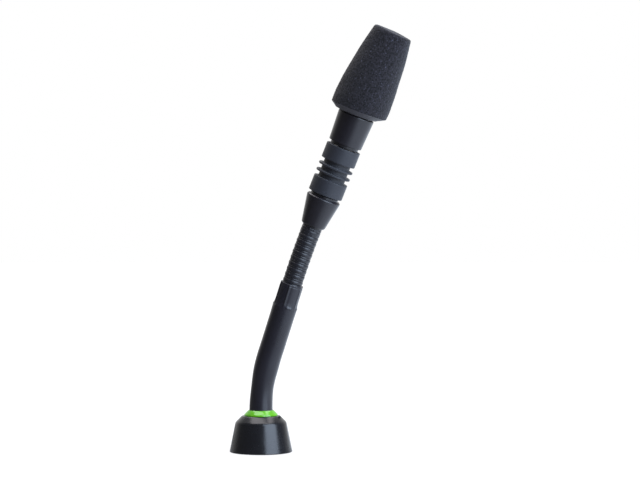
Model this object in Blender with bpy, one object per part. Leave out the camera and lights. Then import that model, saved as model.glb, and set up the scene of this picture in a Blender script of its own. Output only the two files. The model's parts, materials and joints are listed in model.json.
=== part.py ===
"""Gooseneck podium microphone.

A round foot, a lit ring, a gooseneck in a smooth sleeve below and bare ribs above, a rubber
isolator, a screw-on electret cartridge and a foam windscreen. Metres, +Z up, origin at the centre
of the foot's underside. The neck leans towards +X, in the XZ plane.
"""

import math

import bmesh
import bpy
from mathutils import Matrix, Vector

# Clearances
GAP = 0.0003
WELD = 1e-7

# Foot: a bell with a 45 degree shoulder
BELL_FOOT_RADIUS = 0.0125
BELL_SKIRT_RADIUS = 0.0102
BELL_SKIRT_HEIGHT = 0.0118
BELL_HEIGHT = 0.0144
BELL_WALL = 0.00105
BELL_ROOF = 0.0031
BELL_EDGE = 0.0004
BELL_LEDGE = 0.0008

# Base plate, its screws and the contacts through it
PLATE_THICKNESS = 0.0020
PLATE_SCREW_COUNT = 3
PLATE_SCREW_CIRCLE = 0.0074
PLATE_SCREW_RADIUS = 0.0006
PLATE_SCREW_HEAD_RADIUS = 0.0012
PLATE_SCREW_HEAD_HEIGHT = 0.0008
PLATE_SCREW_LENGTH = 0.0062
PLATE_SCREW_SINK = 0.0002
CONTACT_COUNT = 4
CONTACT_CIRCLE = 0.0040
CONTACT_RADIUS = 0.0008
CONTACT_LENGTH = 0.0024
CONNECTOR_BOARD_RADIUS = 0.0062
BOARD_THICKNESS = 0.0008

# Collar that holds the neck, and the lock screw in the shoulder
COLLAR_BOTTOM = 0.0048
COLLAR_HEIGHT = 0.0026
LOCK_SCREW_INSET = 0.0004
LOCK_SCREW_HEAD_RADIUS = 0.0008
LOCK_SCREW_HEAD_HEIGHT = 0.0006
LOCK_SCREW_PROUD = 0.0004
LOCK_SCREW_RADIUS = 0.0005
LOCK_SCREW_LENGTH = 0.0019

# Light ring, its board and its lamps
RING_OVERHANG = 0.0009
RING_LIP = 0.00035
RING_FLANGE_HEIGHT = 0.0016
RING_RIM = 0.0004
RING_SKIRT_WALL = 0.00095
RING_SKIRT_DEPTH = 0.0038
LED_BOARD_HEIGHT = 0.0086
LED_COUNT = 4
LED_SIZE = 0.0012
LED_HEIGHT = 0.0006
LED_CIRCLE = 0.0060

# Neck centre line: a bend at the root, a straight stretch, a slight bend in the ribbed stretch
NECK_ROOT_HEIGHT = 0.0167
LOWER_BEND_LENGTH = 0.0214
LOWER_BEND_ANGLE = math.radians(18.8)
STRAIGHT_LENGTH = 0.0312
UPPER_BEND_LENGTH = 0.0246
UPPER_BEND_ANGLE = math.radians(4.4)

# Neck links: ball at the top, socket at the bottom
FIRST_LINK_AT = 0.0040
LOWER_LINK_LENGTH = 0.0080
LOWER_LINK_COUNT = 4
UPPER_START = 0.0029
UPPER_LINK_LENGTH = 0.0060
UPPER_LINK_COUNT = 3
SOCKET_WALL = 0.00065
RIB_PROUD = 0.0005
RIB_DEPTH = 0.0004
RIB_PITCH = 0.0024
BALL_RADIUS = 0.0026
STEM_WALL = 0.00065
SOCKET_GRIP = 0.0005
SHOULDER_DROP = 0.00205
FERRULE_BOTTOM = 0.0044
FERRULE_STEP = 0.00095

# Sleeve and signal cable
SLEEVE_ROOT_WALL = 0.0008
SLEEVE_TOP_WALL = 0.0009
SLEEVE_SUNK = 0.0017
CABLE_RADIUS = 0.0009
CABLE_CLEARANCE = 0.0004
CABLE_STEP = 0.0048

# Adapter cone, its lengths along the head's axis
CONE_LENGTH = 0.0123
CONE_LIP = 0.0009
CONE_TOP_RADIUS = 0.0069
CONE_CHAMFER = 0.0005
CONE_COLLAR_RADIUS = 0.0056
CONE_COLLAR_HEIGHT = 0.0009
TAIL_RADIUS = 0.0030
TAIL_LENGTH = 0.0060

# Rubber isolator
RUBBER_RING_RADIUS = 0.0070
RUBBER_RING_HEIGHT = 0.0062
RUBBER_ZONE_HEIGHT = 0.0075
RUBBER_FIN_COUNT = 2
RUBBER_FIN_RADIUS = 0.0069
RUBBER_FIN_HEIGHT = 0.0010
RUBBER_CORE_RADIUS = 0.0054
RUBBER_EDGE = 0.0003
RUBBER_CABLE_CLEARANCE = 0.0007
STUD_FLANGE_RADIUS = 0.0040
STUD_FLANGE_HEIGHT = 0.0044
LOWER_STUD_WALL = 0.0007
LOWER_STUD_SHANK = 0.0048
UPPER_STUD_WALL = 0.0012
UPPER_STUD_SHANK = 0.0042

# Preamplifier housing
HOUSING_COLLAR_RADIUS = 0.0056
HOUSING_COLLAR_HEIGHT = 0.0011
HOUSING_BOTTOM_RADIUS = 0.0067
HOUSING_LIP = 0.0003
HOUSING_LENGTH = 0.0122
HOUSING_EDGE = 0.0003
HOUSING_FLOOR = 0.0028
SPIGOT_LENGTH = 0.0042
SPIGOT_WALL = 0.0006
PREAMP_BOARD_MARGIN = 0.0007
PREAMP_BOARD_LENGTH = 0.0100
CHIP_WIDTH = 0.0034
CHIP_LENGTH = 0.0040
CHIP_THICKNESS = 0.0012
PIN_RADIUS = 0.0006
PIN_LENGTH = 0.0030

# Cartridge
WASHER_THICKNESS = 0.0006
SHELL_WALL = 0.0009
SHELL_THREAD_WALL = 0.0011
SHELL_LENGTH = 0.0170
LEDGE_HEIGHT = 0.0055
LEDGE_THICKNESS = 0.0010
LEDGE_OVERLAP = 0.0006
CAPSULE_RADIUS = 0.0049
CAPSULE_LENGTH = 0.0062
GASKET_HEIGHT = 0.0020
GASKET_WALL = 0.0006
GRILLE_THICKNESS = 0.0015
GRILLE_SKIRT_WALL = 0.0008
GRILLE_SKIRT_DEPTH = 0.0015
GRILLE_HOLE_RADIUS = 0.0009
GRILLE_HOLE_CIRCLE = 0.0030
GRILLE_HOLE_COUNT = 6
CLOTH_THICKNESS = 0.0004

# Windscreen
FOAM_LENGTH = 0.0352
FOAM_BOTTOM_WALL = 0.0043
FOAM_WIDEST_WALL = 0.0046
FOAM_WIDEST_AT = 0.0060
FOAM_TOP_RADIUS = 0.0078
FOAM_CHAMFER_HEIGHT = 0.0021
FOAM_CHAMFER_WIDTH = 0.0023
FOAM_TOP_ROUND = 0.0008
FOAM_BULGE = 0.0005
FOAM_SIDE_STEPS = 4
FOAM_LIP = 0.0006
FOAM_LIP_CLEARANCE = 0.00045
SNAP_RING_WALL = 0.0010
SNAP_RING_HEIGHT = 0.0036
CAVITY_HEADROOM = 0.0008

# Facets round a turned piece
LARGE_STEPS = 28
MEDIUM_STEPS = 20
SMALL_STEPS = 14
TINY_STEPS = 8

# Derived places along the neck
SLEEVE_LENGTH = LOWER_BEND_LENGTH + STRAIGHT_LENGTH
NECK_LENGTH = SLEEVE_LENGTH + UPPER_BEND_LENGTH
MIDDLE_LINK_AT = FIRST_LINK_AT + LOWER_LINK_COUNT * LOWER_LINK_LENGTH
UPPER_LINK_AT = SLEEVE_LENGTH + UPPER_START
TOP_LINK_AT = UPPER_LINK_AT + UPPER_LINK_COUNT * UPPER_LINK_LENGTH

# Derived places along the head's axis, counted from the top of the neck
COLLAR_TOP_AT = CONE_LENGTH + CONE_COLLAR_HEIGHT
RUBBER_AT = COLLAR_TOP_AT + GAP
RUBBER_LENGTH = 2 * RUBBER_RING_HEIGHT + RUBBER_ZONE_HEIGHT
RUBBER_TOP_AT = RUBBER_AT + RUBBER_LENGTH
HOUSING_AT = RUBBER_TOP_AT + GAP
HOUSING_TOP_AT = HOUSING_AT + HOUSING_COLLAR_HEIGHT + HOUSING_LENGTH
SPIGOT_TOP_AT = HOUSING_TOP_AT + SPIGOT_LENGTH
FOAM_AT = HOUSING_TOP_AT + GAP
WASHER_AT = HOUSING_TOP_AT + GAP
SHELL_AT = WASHER_AT + WASHER_THICKNESS + GAP
SHELL_TOP_AT = SHELL_AT + SHELL_LENGTH
LEDGE_AT = SHELL_AT + LEDGE_HEIGHT
LEDGE_TOP_AT = LEDGE_AT + LEDGE_THICKNESS
GRILLE_AT = SHELL_TOP_AT + GAP

# Derived sizes: the neck round its cable
CABLE_BORE = CABLE_RADIUS + CABLE_CLEARANCE
STEM_RADIUS = CABLE_BORE + STEM_WALL
COVERED_RADIUS = BALL_RADIUS + GAP + SOCKET_WALL
RIB_RADIUS = COVERED_RADIUS + RIB_PROUD
FERRULE_RADIUS = COVERED_RADIUS + FERRULE_STEP
SLEEVE_BORE = COVERED_RADIUS + GAP
SLEEVE_ROOT_RADIUS = SLEEVE_BORE + SLEEVE_ROOT_WALL
SLEEVE_TOP_RADIUS = SLEEVE_BORE + SLEEVE_TOP_WALL

# Derived sizes: the ring round the sleeve, and the foot round the ring
RING_BORE = SLEEVE_ROOT_RADIUS + GAP
RING_SKIRT_RADIUS = RING_BORE + RING_SKIRT_WALL
RING_TOP_RADIUS = RING_BORE + RING_LIP
RING_FLANGE_RADIUS = RING_SKIRT_RADIUS + RING_OVERHANG
BELL_HOLE = RING_SKIRT_RADIUS + GAP
BELL_TOP_RADIUS = RING_FLANGE_RADIUS + BELL_LEDGE
BELL_ROOF_UNDERSIDE = BELL_HEIGHT - BELL_ROOF

# Derived sizes: the isolator and its studs
CONE_BOTTOM_RADIUS = RIB_RADIUS + CONE_LIP
RUBBER_BORE = CABLE_RADIUS + RUBBER_CABLE_CLEARANCE
LOWER_STUD_RADIUS = CABLE_BORE + LOWER_STUD_WALL
UPPER_STUD_RADIUS = CABLE_BORE + UPPER_STUD_WALL

# Derived sizes: the cartridge round its capsule, and what fits the cartridge
SHELL_BORE = CAPSULE_RADIUS + GAP + GASKET_WALL + GAP
SHELL_RADIUS = SHELL_BORE + SHELL_WALL
LEDGE_BORE = CAPSULE_RADIUS - LEDGE_OVERLAP
SPIGOT_RADIUS = SHELL_RADIUS - SHELL_THREAD_WALL - GAP
HOUSING_TOP_RADIUS = SHELL_RADIUS + HOUSING_LIP
PREAMP_BOARD_WIDTH = 2 * (SPIGOT_RADIUS - SPIGOT_WALL - PREAMP_BOARD_MARGIN)
FOAM_BOTTOM_RADIUS = SHELL_RADIUS + FOAM_BOTTOM_WALL
FOAM_WIDEST_RADIUS = SHELL_RADIUS + FOAM_WIDEST_WALL


def linear(hex_colour):
    """The linear RGB of an sRGB hex colour."""
    parts = [int(hex_colour[i : i + 2], 16) / 255 for i in (1, 3, 5)]
    return [p / 12.92 if p <= 0.04045 else ((p + 0.055) / 1.055) ** 2.4 for p in parts]


def material(name, hex_colour, roughness, metallic=0.0):
    made = bpy.data.materials.get(name) or bpy.data.materials.new(name)
    made.use_nodes = True
    shader = made.node_tree.nodes["Principled BSDF"]
    shader.inputs["Base Color"].default_value = (*linear(hex_colour), 1)
    shader.inputs["Roughness"].default_value = roughness
    shader.inputs["Metallic"].default_value = metallic
    made.diffuse_color = (*linear(hex_colour), 1)
    return made


def black_plastic():
    return material("black_plastic", "#222328", 0.35)


def satin_black():
    return material("satin_black_paint", "#1d1e22", 0.4)


def rubber():
    return material("rubber", "#3a3b42", 0.8)


def steel():
    return material("steel", "#9a9a9c", 0.3, 1.0)


def gold():
    return material("gold_plate", "#c9a24a", 0.25, 1.0)


def circuit_board():
    return material("circuit_board", "#1f5a36", 0.5)


def clear_scene():
    for obj in list(bpy.data.objects):
        bpy.data.objects.remove(obj, do_unlink=True)


def arc_step(length, angle):
    """The move along a stretch of centre line that turns by angle about Y."""
    if angle == 0:
        return Matrix.Translation((0, 0, length))
    radius = length / angle
    moved = Matrix.Translation((radius * (1 - math.cos(angle)), 0, radius * math.sin(angle)))
    return moved @ Matrix.Rotation(angle, 4, "Y")


def neck_frame(at):
    """The frame at a length along the neck, +Z along it. Below the root it runs straight down."""
    frame = Matrix.Translation((0, 0, NECK_ROOT_HEIGHT))
    stretches = (
        (LOWER_BEND_LENGTH, LOWER_BEND_ANGLE),
        (STRAIGHT_LENGTH, 0),
        (UPPER_BEND_LENGTH, UPPER_BEND_ANGLE),
    )
    left = at
    for length, angle in stretches:
        run = min(left, length)
        if run <= 0:
            break
        frame = frame @ arc_step(run, angle * run / length)
        left -= run
    return frame @ Matrix.Translation((0, 0, left))


def head_frame(at):
    """The frame at a length along the head's straight axis, counted from the top of the neck."""
    return neck_frame(NECK_LENGTH) @ Matrix.Translation((0, 0, at))


def link_frame(at, end):
    """The frame at a ball joint's centre, +Z along the chord to the next one."""
    start = neck_frame(at).translation
    run = neck_frame(end).translation - start
    return Matrix.Translation(start) @ Matrix.Rotation(math.atan2(run.x, run.z), 4, "Y")


def arc(centre, radius, start, end, steps):
    """Points (radius, height) on an arc about a point on the axis, by angle from level."""
    angles = [start + (end - start) * i / steps for i in range(steps + 1)]
    return [(radius * math.cos(a), centre + radius * math.sin(a)) for a in angles]


def finish_mesh(name, bm, made_of):
    bmesh.ops.remove_doubles(bm, verts=bm.verts, dist=WELD)
    bmesh.ops.recalc_face_normals(bm, faces=bm.faces)
    mesh = bpy.data.meshes.new(name)
    bm.to_mesh(mesh)
    bm.free()
    mesh.shade_smooth()
    mesh.set_sharp_from_angle(angle=math.radians(30))
    obj = bpy.data.objects.new(name, mesh)
    obj.data.materials.append(made_of)
    bpy.context.scene.collection.objects.link(obj)
    return obj


def turned(name, outline, made_of, steps=MEDIUM_STEPS):
    """A body turned about Z from an outline of (radius, height). One that starts and ends on the
    axis is solid, and any other is a closed loop with a bore."""
    bm = bmesh.new()
    points = [bm.verts.new((radius, 0, height)) for radius, height in outline]
    edges = [bm.edges.new(pair) for pair in zip(points, points[1:])]
    if outline[0][0] > 0 or outline[-1][0] > 0:
        edges.append(bm.edges.new((points[-1], points[0])))
    bmesh.ops.spin(
        bm,
        geom=points + edges,
        axis=(0, 0, 1),
        cent=(0, 0, 0),
        angle=math.tau,
        steps=steps,
        use_merge=True,
    )
    return finish_mesh(name, bm, made_of)


def rod(name, radius, low, high, made_of, steps=SMALL_STEPS):
    outline = [(0, high), (radius, high), (radius, low), (0, low)]
    return turned(name, outline, made_of, steps)


def hoop(name, outer, inner, low, high, made_of, steps=MEDIUM_STEPS):
    outline = [(outer, high), (outer, low), (inner, low), (inner, high)]
    return turned(name, outline, made_of, steps)


def block(name, size, made_of):
    bm = bmesh.new()
    bmesh.ops.create_cube(bm, size=1)
    bmesh.ops.scale(bm, vec=size, verts=bm.verts)
    return finish_mesh(name, bm, made_of)


def attach(obj, parent, frame):
    """Places a piece in the world under the empty that it moves with."""
    obj.parent = parent
    obj.matrix_basis = PIVOTS[parent.name].inverted() @ frame
    return obj


def pivot(name, frame, parent=None):
    """An empty on a joint's axis, which a body's pieces are parented to."""
    empty = bpy.data.objects.new(name, None)
    empty.empty_display_size = FERRULE_RADIUS
    bpy.context.scene.collection.objects.link(empty)
    PIVOTS[name] = frame
    if parent:
        return attach(empty, parent, frame)
    empty.matrix_basis = frame
    return empty


def cut(obj, cutter):
    """Takes a cutter, placed under the same parent, out of a piece."""
    cutter.hide_render = True
    cutter.display_type = "WIRE"
    taken = obj.modifiers.new(cutter.name, "BOOLEAN")
    taken.operation = "DIFFERENCE"
    taken.solver = "EXACT"
    taken.object = cutter


def round_places(count, radius, height, start=0.0):
    """Frames evenly spaced on a circle about Z."""
    frames = []
    for i in range(count):
        turn = Matrix.Rotation(start + math.tau * i / count, 4, "Z")
        frames.append(turn @ Matrix.Translation((radius, 0, height)))
    return frames


def lock_screw_frame():
    """On the shoulder's cone, +Z out of it."""
    rise = BELL_HEIGHT - BELL_SKIRT_HEIGHT
    run = BELL_SKIRT_RADIUS - BELL_TOP_RADIUS
    radius = BELL_TOP_RADIUS + LOCK_SCREW_INSET
    place = Matrix.Translation((radius, 0, BELL_HEIGHT - LOCK_SCREW_INSET * rise / run))
    return place @ Matrix.Rotation(math.atan2(rise, run), 4, "Y")


def bell_inner_radius(height):
    taper = (BELL_FOOT_RADIUS - BELL_SKIRT_RADIUS) / BELL_SKIRT_HEIGHT
    return BELL_FOOT_RADIUS - taper * height - BELL_WALL


def make_base_bell(base):
    ledge = PLATE_THICKNESS + GAP
    recess = bell_inner_radius(ledge)
    chamber = bell_inner_radius(BELL_ROOF_UNDERSIDE)
    outline = [
        (BELL_TOP_RADIUS, BELL_HEIGHT),
        (BELL_SKIRT_RADIUS, BELL_SKIRT_HEIGHT),
        (BELL_FOOT_RADIUS, BELL_EDGE),
        (BELL_FOOT_RADIUS - BELL_EDGE, 0),
        (recess, 0),
        (recess, ledge),
        (chamber, ledge),
        (chamber, BELL_ROOF_UNDERSIDE),
        (BELL_HOLE, BELL_ROOF_UNDERSIDE),
        (BELL_HOLE, BELL_HEIGHT),
    ]
    bell = turned("base_bell", outline, black_plastic(), LARGE_STEPS)
    attach(bell, base, Matrix())
    sink = LOCK_SCREW_HEAD_HEIGHT - LOCK_SCREW_PROUD + GAP
    well = turned(
        "lock_screw_hole",
        [
            (0, BELL_FOOT_RADIUS / 2),
            (LOCK_SCREW_HEAD_RADIUS + GAP, BELL_FOOT_RADIUS / 2),
            (LOCK_SCREW_HEAD_RADIUS + GAP, -sink),
            (LOCK_SCREW_RADIUS + GAP, -sink),
            (LOCK_SCREW_RADIUS + GAP, -LOCK_SCREW_LENGTH - GAP),
            (0, -LOCK_SCREW_LENGTH - GAP),
        ],
        black_plastic(),
        SMALL_STEPS,
    )
    attach(well, base, lock_screw_frame())
    cut(bell, well)


def make_lock_screw(base):
    under_head = LOCK_SCREW_PROUD - LOCK_SCREW_HEAD_HEIGHT
    outline = [
        (0, LOCK_SCREW_PROUD),
        (LOCK_SCREW_HEAD_RADIUS, LOCK_SCREW_PROUD),
        (LOCK_SCREW_HEAD_RADIUS, under_head),
        (LOCK_SCREW_RADIUS, under_head),
        (LOCK_SCREW_RADIUS, -LOCK_SCREW_LENGTH),
        (0, -LOCK_SCREW_LENGTH),
    ]
    screw = turned("lock_screw", outline, satin_black(), SMALL_STEPS)
    attach(screw, base, lock_screw_frame())


def screw_outline(clearance, low, high):
    """A countersunk screw's outline, head down, or its hole's with the clearance added."""
    head = PLATE_SCREW_HEAD_RADIUS + clearance
    shank = PLATE_SCREW_RADIUS + clearance
    cone = PLATE_SCREW_SINK + PLATE_SCREW_HEAD_HEIGHT + clearance
    below = [(head, low)] if low < PLATE_SCREW_SINK else []
    return [(0, high), (shank, high), (shank, cone), (head, PLATE_SCREW_SINK), *below, (0, low)]


def make_base_plate(base):
    radius = bell_inner_radius(PLATE_THICKNESS + GAP) - GAP
    plate = rod("base_plate", radius, 0, PLATE_THICKNESS, satin_black(), LARGE_STEPS)
    attach(plate, base, Matrix())
    for i, place in enumerate(round_places(PLATE_SCREW_COUNT, PLATE_SCREW_CIRCLE, 0)):
        outline = screw_outline(GAP, -PLATE_THICKNESS, 2 * PLATE_THICKNESS)
        hole = turned(f"plate_screw_hole_{i + 1}", outline, steel(), SMALL_STEPS)
        attach(hole, base, place)
        cut(plate, hole)
    for i, place in enumerate(contact_places()):
        hole = rod(
            f"contact_hole_{i + 1}",
            CONTACT_RADIUS + GAP,
            -PLATE_THICKNESS,
            2 * PLATE_THICKNESS,
            steel(),
        )
        attach(hole, base, place)
        cut(plate, hole)


def make_plate_screws(base):
    for i, place in enumerate(round_places(PLATE_SCREW_COUNT, PLATE_SCREW_CIRCLE, 0)):
        sunk = PLATE_SCREW_SINK
        outline = screw_outline(0, sunk, sunk + PLATE_SCREW_LENGTH)
        attach(turned(f"plate_screw_{i + 1}", outline, steel(), TINY_STEPS), base, place)


def contact_places():
    start = math.pi / CONTACT_COUNT
    return round_places(CONTACT_COUNT, CONTACT_CIRCLE, 0, start)


def make_contacts(base):
    for i, place in enumerate(contact_places()):
        low = PLATE_SCREW_SINK
        pad = rod(f"contact_{i + 1}", CONTACT_RADIUS, low, low + CONTACT_LENGTH, gold(), TINY_STEPS)
        attach(pad, base, place)


def make_connector_board(base):
    low = PLATE_SCREW_SINK + CONTACT_LENGTH + GAP
    board = rod(
        "connector_board",
        CONNECTOR_BOARD_RADIUS,
        low,
        low + BOARD_THICKNESS,
        circuit_board(),
        MEDIUM_STEPS,
    )
    attach(board, base, Matrix())


def make_neck_collar(base):
    """The clamp ring round the neck's lower ferrule, which the plate screws pull down on."""
    outer = bell_inner_radius(BELL_ROOF_UNDERSIDE) - GAP
    top = COLLAR_BOTTOM + COLLAR_HEIGHT
    inner = FERRULE_RADIUS + GAP
    collar = hoop("neck_collar", outer, inner, COLLAR_BOTTOM, top, steel())
    attach(collar, base, Matrix())
    hole_top = PLATE_SCREW_SINK + PLATE_SCREW_LENGTH + GAP
    for i, place in enumerate(round_places(PLATE_SCREW_COUNT, PLATE_SCREW_CIRCLE, 0)):
        radius = PLATE_SCREW_RADIUS + GAP
        hole = rod(f"collar_hole_{i + 1}", radius, 0, hole_top, steel(), TINY_STEPS)
        attach(hole, base, place)
        cut(collar, hole)


def make_light_ring(base):
    low = BELL_HEIGHT + GAP
    top = low + RING_FLANGE_HEIGHT
    outline = [
        (RING_TOP_RADIUS, top),
        (RING_FLANGE_RADIUS, low + RING_RIM),
        (RING_FLANGE_RADIUS, low),
        (RING_SKIRT_RADIUS, low),
        (RING_SKIRT_RADIUS, low - RING_SKIRT_DEPTH),
        (RING_BORE, low - RING_SKIRT_DEPTH),
        (RING_BORE, top),
    ]
    ring = turned("light_ring", outline, material("light_ring", "#66d321", 0.3), LARGE_STEPS)
    attach(ring, base, Matrix())


def make_led_board(base):
    outer = bell_inner_radius(BELL_ROOF_UNDERSIDE) - GAP
    inner = FERRULE_RADIUS + GAP
    top = LED_BOARD_HEIGHT + BOARD_THICKNESS
    board = hoop("led_board", outer, inner, LED_BOARD_HEIGHT, top, circuit_board())
    attach(board, base, Matrix())
    lens = material("led_lens", "#c8f0a8", 0.2)
    height = top + GAP + LED_HEIGHT / 2
    for i, place in enumerate(round_places(LED_COUNT, LED_CIRCLE, height)):
        attach(block(f"led_{i + 1}", (LED_SIZE, LED_SIZE, LED_HEIGHT), lens), base, place)


def ball_end(centre, bore):
    """The ball on a stem at a link's top, from its bore down to its stem."""
    top = math.acos(bore / BALL_RADIUS)
    foot = -math.acos(STEM_RADIUS / BALL_RADIUS)
    return arc(centre, BALL_RADIUS, top, foot, 6)


def socket_end(bore):
    """The socket about the link's own origin, from its rim up to its bore."""
    radius = BALL_RADIUS + GAP
    rim = -math.asin(SOCKET_GRIP / radius)
    top = math.acos(bore / radius)
    return arc(0, radius, rim, top, 5)


def ribs(high, low, radius):
    """Ribs down an outer wall, one for each pitch that fits."""
    count = max(1, round((high - low) / RIB_PITCH))
    pitch = (high - low) / count
    points = []
    for i in range(count):
        top = high - i * pitch
        points += [(radius - RIB_DEPTH, top), (radius, top - pitch / 3), (radius, top - 2 * pitch / 3)]
    return points + [(radius - RIB_DEPTH, low)]


def make_link(name, at, end, ribbed, parent):
    """A stretch of the neck between two ball joints. It turns about its own origin."""
    frame = link_frame(at, end)
    length = (neck_frame(end).translation - frame.translation).length
    shoulder = length - SHOULDER_DROP
    if ribbed:
        wall = ribs(shoulder, -SOCKET_GRIP, RIB_RADIUS)
    else:
        wall = [(COVERED_RADIUS, shoulder), (COVERED_RADIUS, -SOCKET_GRIP)]
    ball = ball_end(length, CABLE_BORE)
    outline = ball + [(STEM_RADIUS, shoulder)] + wall + socket_end(CABLE_BORE)
    link = turned(name, outline, satin_black(), SMALL_STEPS)
    turning = pivot(f"{name}_pivot", frame, parent)
    attach(link, turning, frame)
    return turning


def make_base_ferrule(base):
    """The plain tube that the collar grips, with the first ball on its top."""
    centre = NECK_ROOT_HEIGHT + FIRST_LINK_AT
    shoulder = centre - SHOULDER_DROP
    step = NECK_ROOT_HEIGHT - SLEEVE_SUNK - GAP
    outline = [
        *ball_end(centre, CABLE_BORE),
        (STEM_RADIUS, shoulder),
        (COVERED_RADIUS, shoulder),
        (COVERED_RADIUS, step),
        (FERRULE_RADIUS, step),
        (FERRULE_RADIUS, FERRULE_BOTTOM),
        (CABLE_BORE, FERRULE_BOTTOM),
    ]
    attach(turned("base_ferrule", outline, steel(), SMALL_STEPS), base, Matrix())


def make_middle_ferrule(parent):
    """The rigid stretch inside the sleeve's top, with the first bare rib above it."""
    frame = link_frame(MIDDLE_LINK_AT, UPPER_LINK_AT)
    length = (neck_frame(UPPER_LINK_AT).translation - frame.translation).length
    shoulder = length - SHOULDER_DROP
    sleeve_top = SLEEVE_LENGTH - MIDDLE_LINK_AT + GAP
    outline = [
        *ball_end(length, CABLE_BORE),
        (STEM_RADIUS, shoulder),
        (RIB_RADIUS, shoulder),
        (RIB_RADIUS, sleeve_top),
        (COVERED_RADIUS, sleeve_top),
        (COVERED_RADIUS, -SOCKET_GRIP),
        *socket_end(CABLE_BORE),
    ]
    ferrule = turned("middle_ferrule", outline, satin_black(), SMALL_STEPS)
    turning = pivot("middle_ferrule_pivot", frame, parent)
    attach(ferrule, turning, frame)
    return turning


def make_top_ferrule(parent):
    """The neck's last ribbed stretch, whose tail is fixed in the adapter cone."""
    frame = link_frame(TOP_LINK_AT, NECK_LENGTH)
    rib_top = (neck_frame(NECK_LENGTH).translation - frame.translation).length - GAP
    outline = [
        (TAIL_RADIUS, rib_top + TAIL_LENGTH),
        (TAIL_RADIUS, rib_top),
        *ribs(rib_top, -SOCKET_GRIP, RIB_RADIUS),
        *socket_end(CABLE_BORE),
        (CABLE_BORE, rib_top + TAIL_LENGTH),
    ]
    ferrule = turned("top_ferrule", outline, satin_black(), SMALL_STEPS)
    turning = pivot("top_ferrule_pivot", frame, parent)
    attach(ferrule, turning, frame)
    return turning


def make_neck(base):
    """The chain from the foot to the head. It returns the empty that the head rides on."""
    make_base_ferrule(base)
    turning = base
    for i in range(LOWER_LINK_COUNT):
        at = FIRST_LINK_AT + i * LOWER_LINK_LENGTH
        turning = make_link(f"neck_link_{i + 1}", at, at + LOWER_LINK_LENGTH, False, turning)
    turning = make_middle_ferrule(turning)
    for i in range(UPPER_LINK_COUNT):
        at = UPPER_LINK_AT + i * UPPER_LINK_LENGTH
        name = f"neck_link_{LOWER_LINK_COUNT + i + 1}"
        turning = make_link(name, at, at + UPPER_LINK_LENGTH, True, turning)
    return make_top_ferrule(turning)


def make_neck_sleeve(base):
    """The smooth cover of the neck's lower stretch, turned straight and then laid along the neck."""
    low, high = -SLEEVE_SUNK, SLEEVE_LENGTH
    sections = round((high - low) / (RIB_PITCH * 1.5))
    heights = [high + (low - high) * i / sections for i in range(sections + 1)]
    taper = (SLEEVE_ROOT_WALL - SLEEVE_TOP_WALL) / SLEEVE_LENGTH
    outer = [(SLEEVE_ROOT_RADIUS - taper * max(h, 0), h) for h in heights]
    inner = [(SLEEVE_BORE, h) for h in reversed(heights)]
    sleeve = turned("neck_sleeve", outer + inner, satin_black(), MEDIUM_STEPS)
    for vertex in sleeve.data.vertices:
        x, y, height = vertex.co
        vertex.co = neck_frame(height) @ Vector((x, y, 0))
    attach(sleeve, base, Matrix())


def make_signal_cable(base):
    """The lead from the foot's board to the preamplifier's board, on the neck's centre line."""
    low = PLATE_SCREW_SINK + CONTACT_LENGTH + 2 * GAP + BOARD_THICKNESS - NECK_ROOT_HEIGHT
    high = NECK_LENGTH + HOUSING_AT + UPPER_STUD_SHANK
    count = round((high - low) / CABLE_STEP)
    curve = bpy.data.curves.new("signal_cable", "CURVE")
    curve.dimensions = "3D"
    curve.bevel_depth = CABLE_RADIUS
    curve.bevel_resolution = 2
    curve.use_fill_caps = True
    spline = curve.splines.new("POLY")
    spline.points.add(count)
    for i, point in enumerate(spline.points):
        place = neck_frame(low + (high - low) * i / count).translation
        point.co = (*place, 1)
    curve.materials.append(rubber())
    cable = bpy.data.objects.new("signal_cable", curve)
    bpy.context.scene.collection.objects.link(cable)
    attach(cable, base, Matrix())


def make_adapter_cone(head):
    """The tapered nut between the neck and the isolator."""
    tail_room = TAIL_LENGTH + GAP
    tail_bore = TAIL_RADIUS + GAP
    stud_bore = LOWER_STUD_RADIUS + GAP
    outline = [
        (CONE_COLLAR_RADIUS, COLLAR_TOP_AT),
        (CONE_COLLAR_RADIUS, CONE_LENGTH),
        (CONE_TOP_RADIUS - CONE_CHAMFER, CONE_LENGTH),
        (CONE_TOP_RADIUS, CONE_LENGTH - CONE_CHAMFER),
        (CONE_BOTTOM_RADIUS, CONE_CHAMFER),
        (CONE_BOTTOM_RADIUS - CONE_CHAMFER, 0),
        (tail_bore, 0),
        (tail_bore, tail_room),
        (stud_bore, tail_room),
        (stud_bore, COLLAR_TOP_AT),
    ]
    cone = turned("adapter_cone", outline, black_plastic(), LARGE_STEPS)
    attach(cone, head, head_frame(0))


def make_lower_stud(head):
    """The threaded stud that the isolator's lower ring is moulded round."""
    flange = RUBBER_AT + GAP
    outline = [
        (STUD_FLANGE_RADIUS, flange + STUD_FLANGE_HEIGHT),
        (STUD_FLANGE_RADIUS, flange),
        (LOWER_STUD_RADIUS, flange),
        (LOWER_STUD_RADIUS, flange - GAP - LOWER_STUD_SHANK),
        (CABLE_BORE, flange - GAP - LOWER_STUD_SHANK),
        (CABLE_BORE, flange + STUD_FLANGE_HEIGHT),
    ]
    attach(turned("isolator_lower_stud", outline, steel()), head, head_frame(0))


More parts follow.
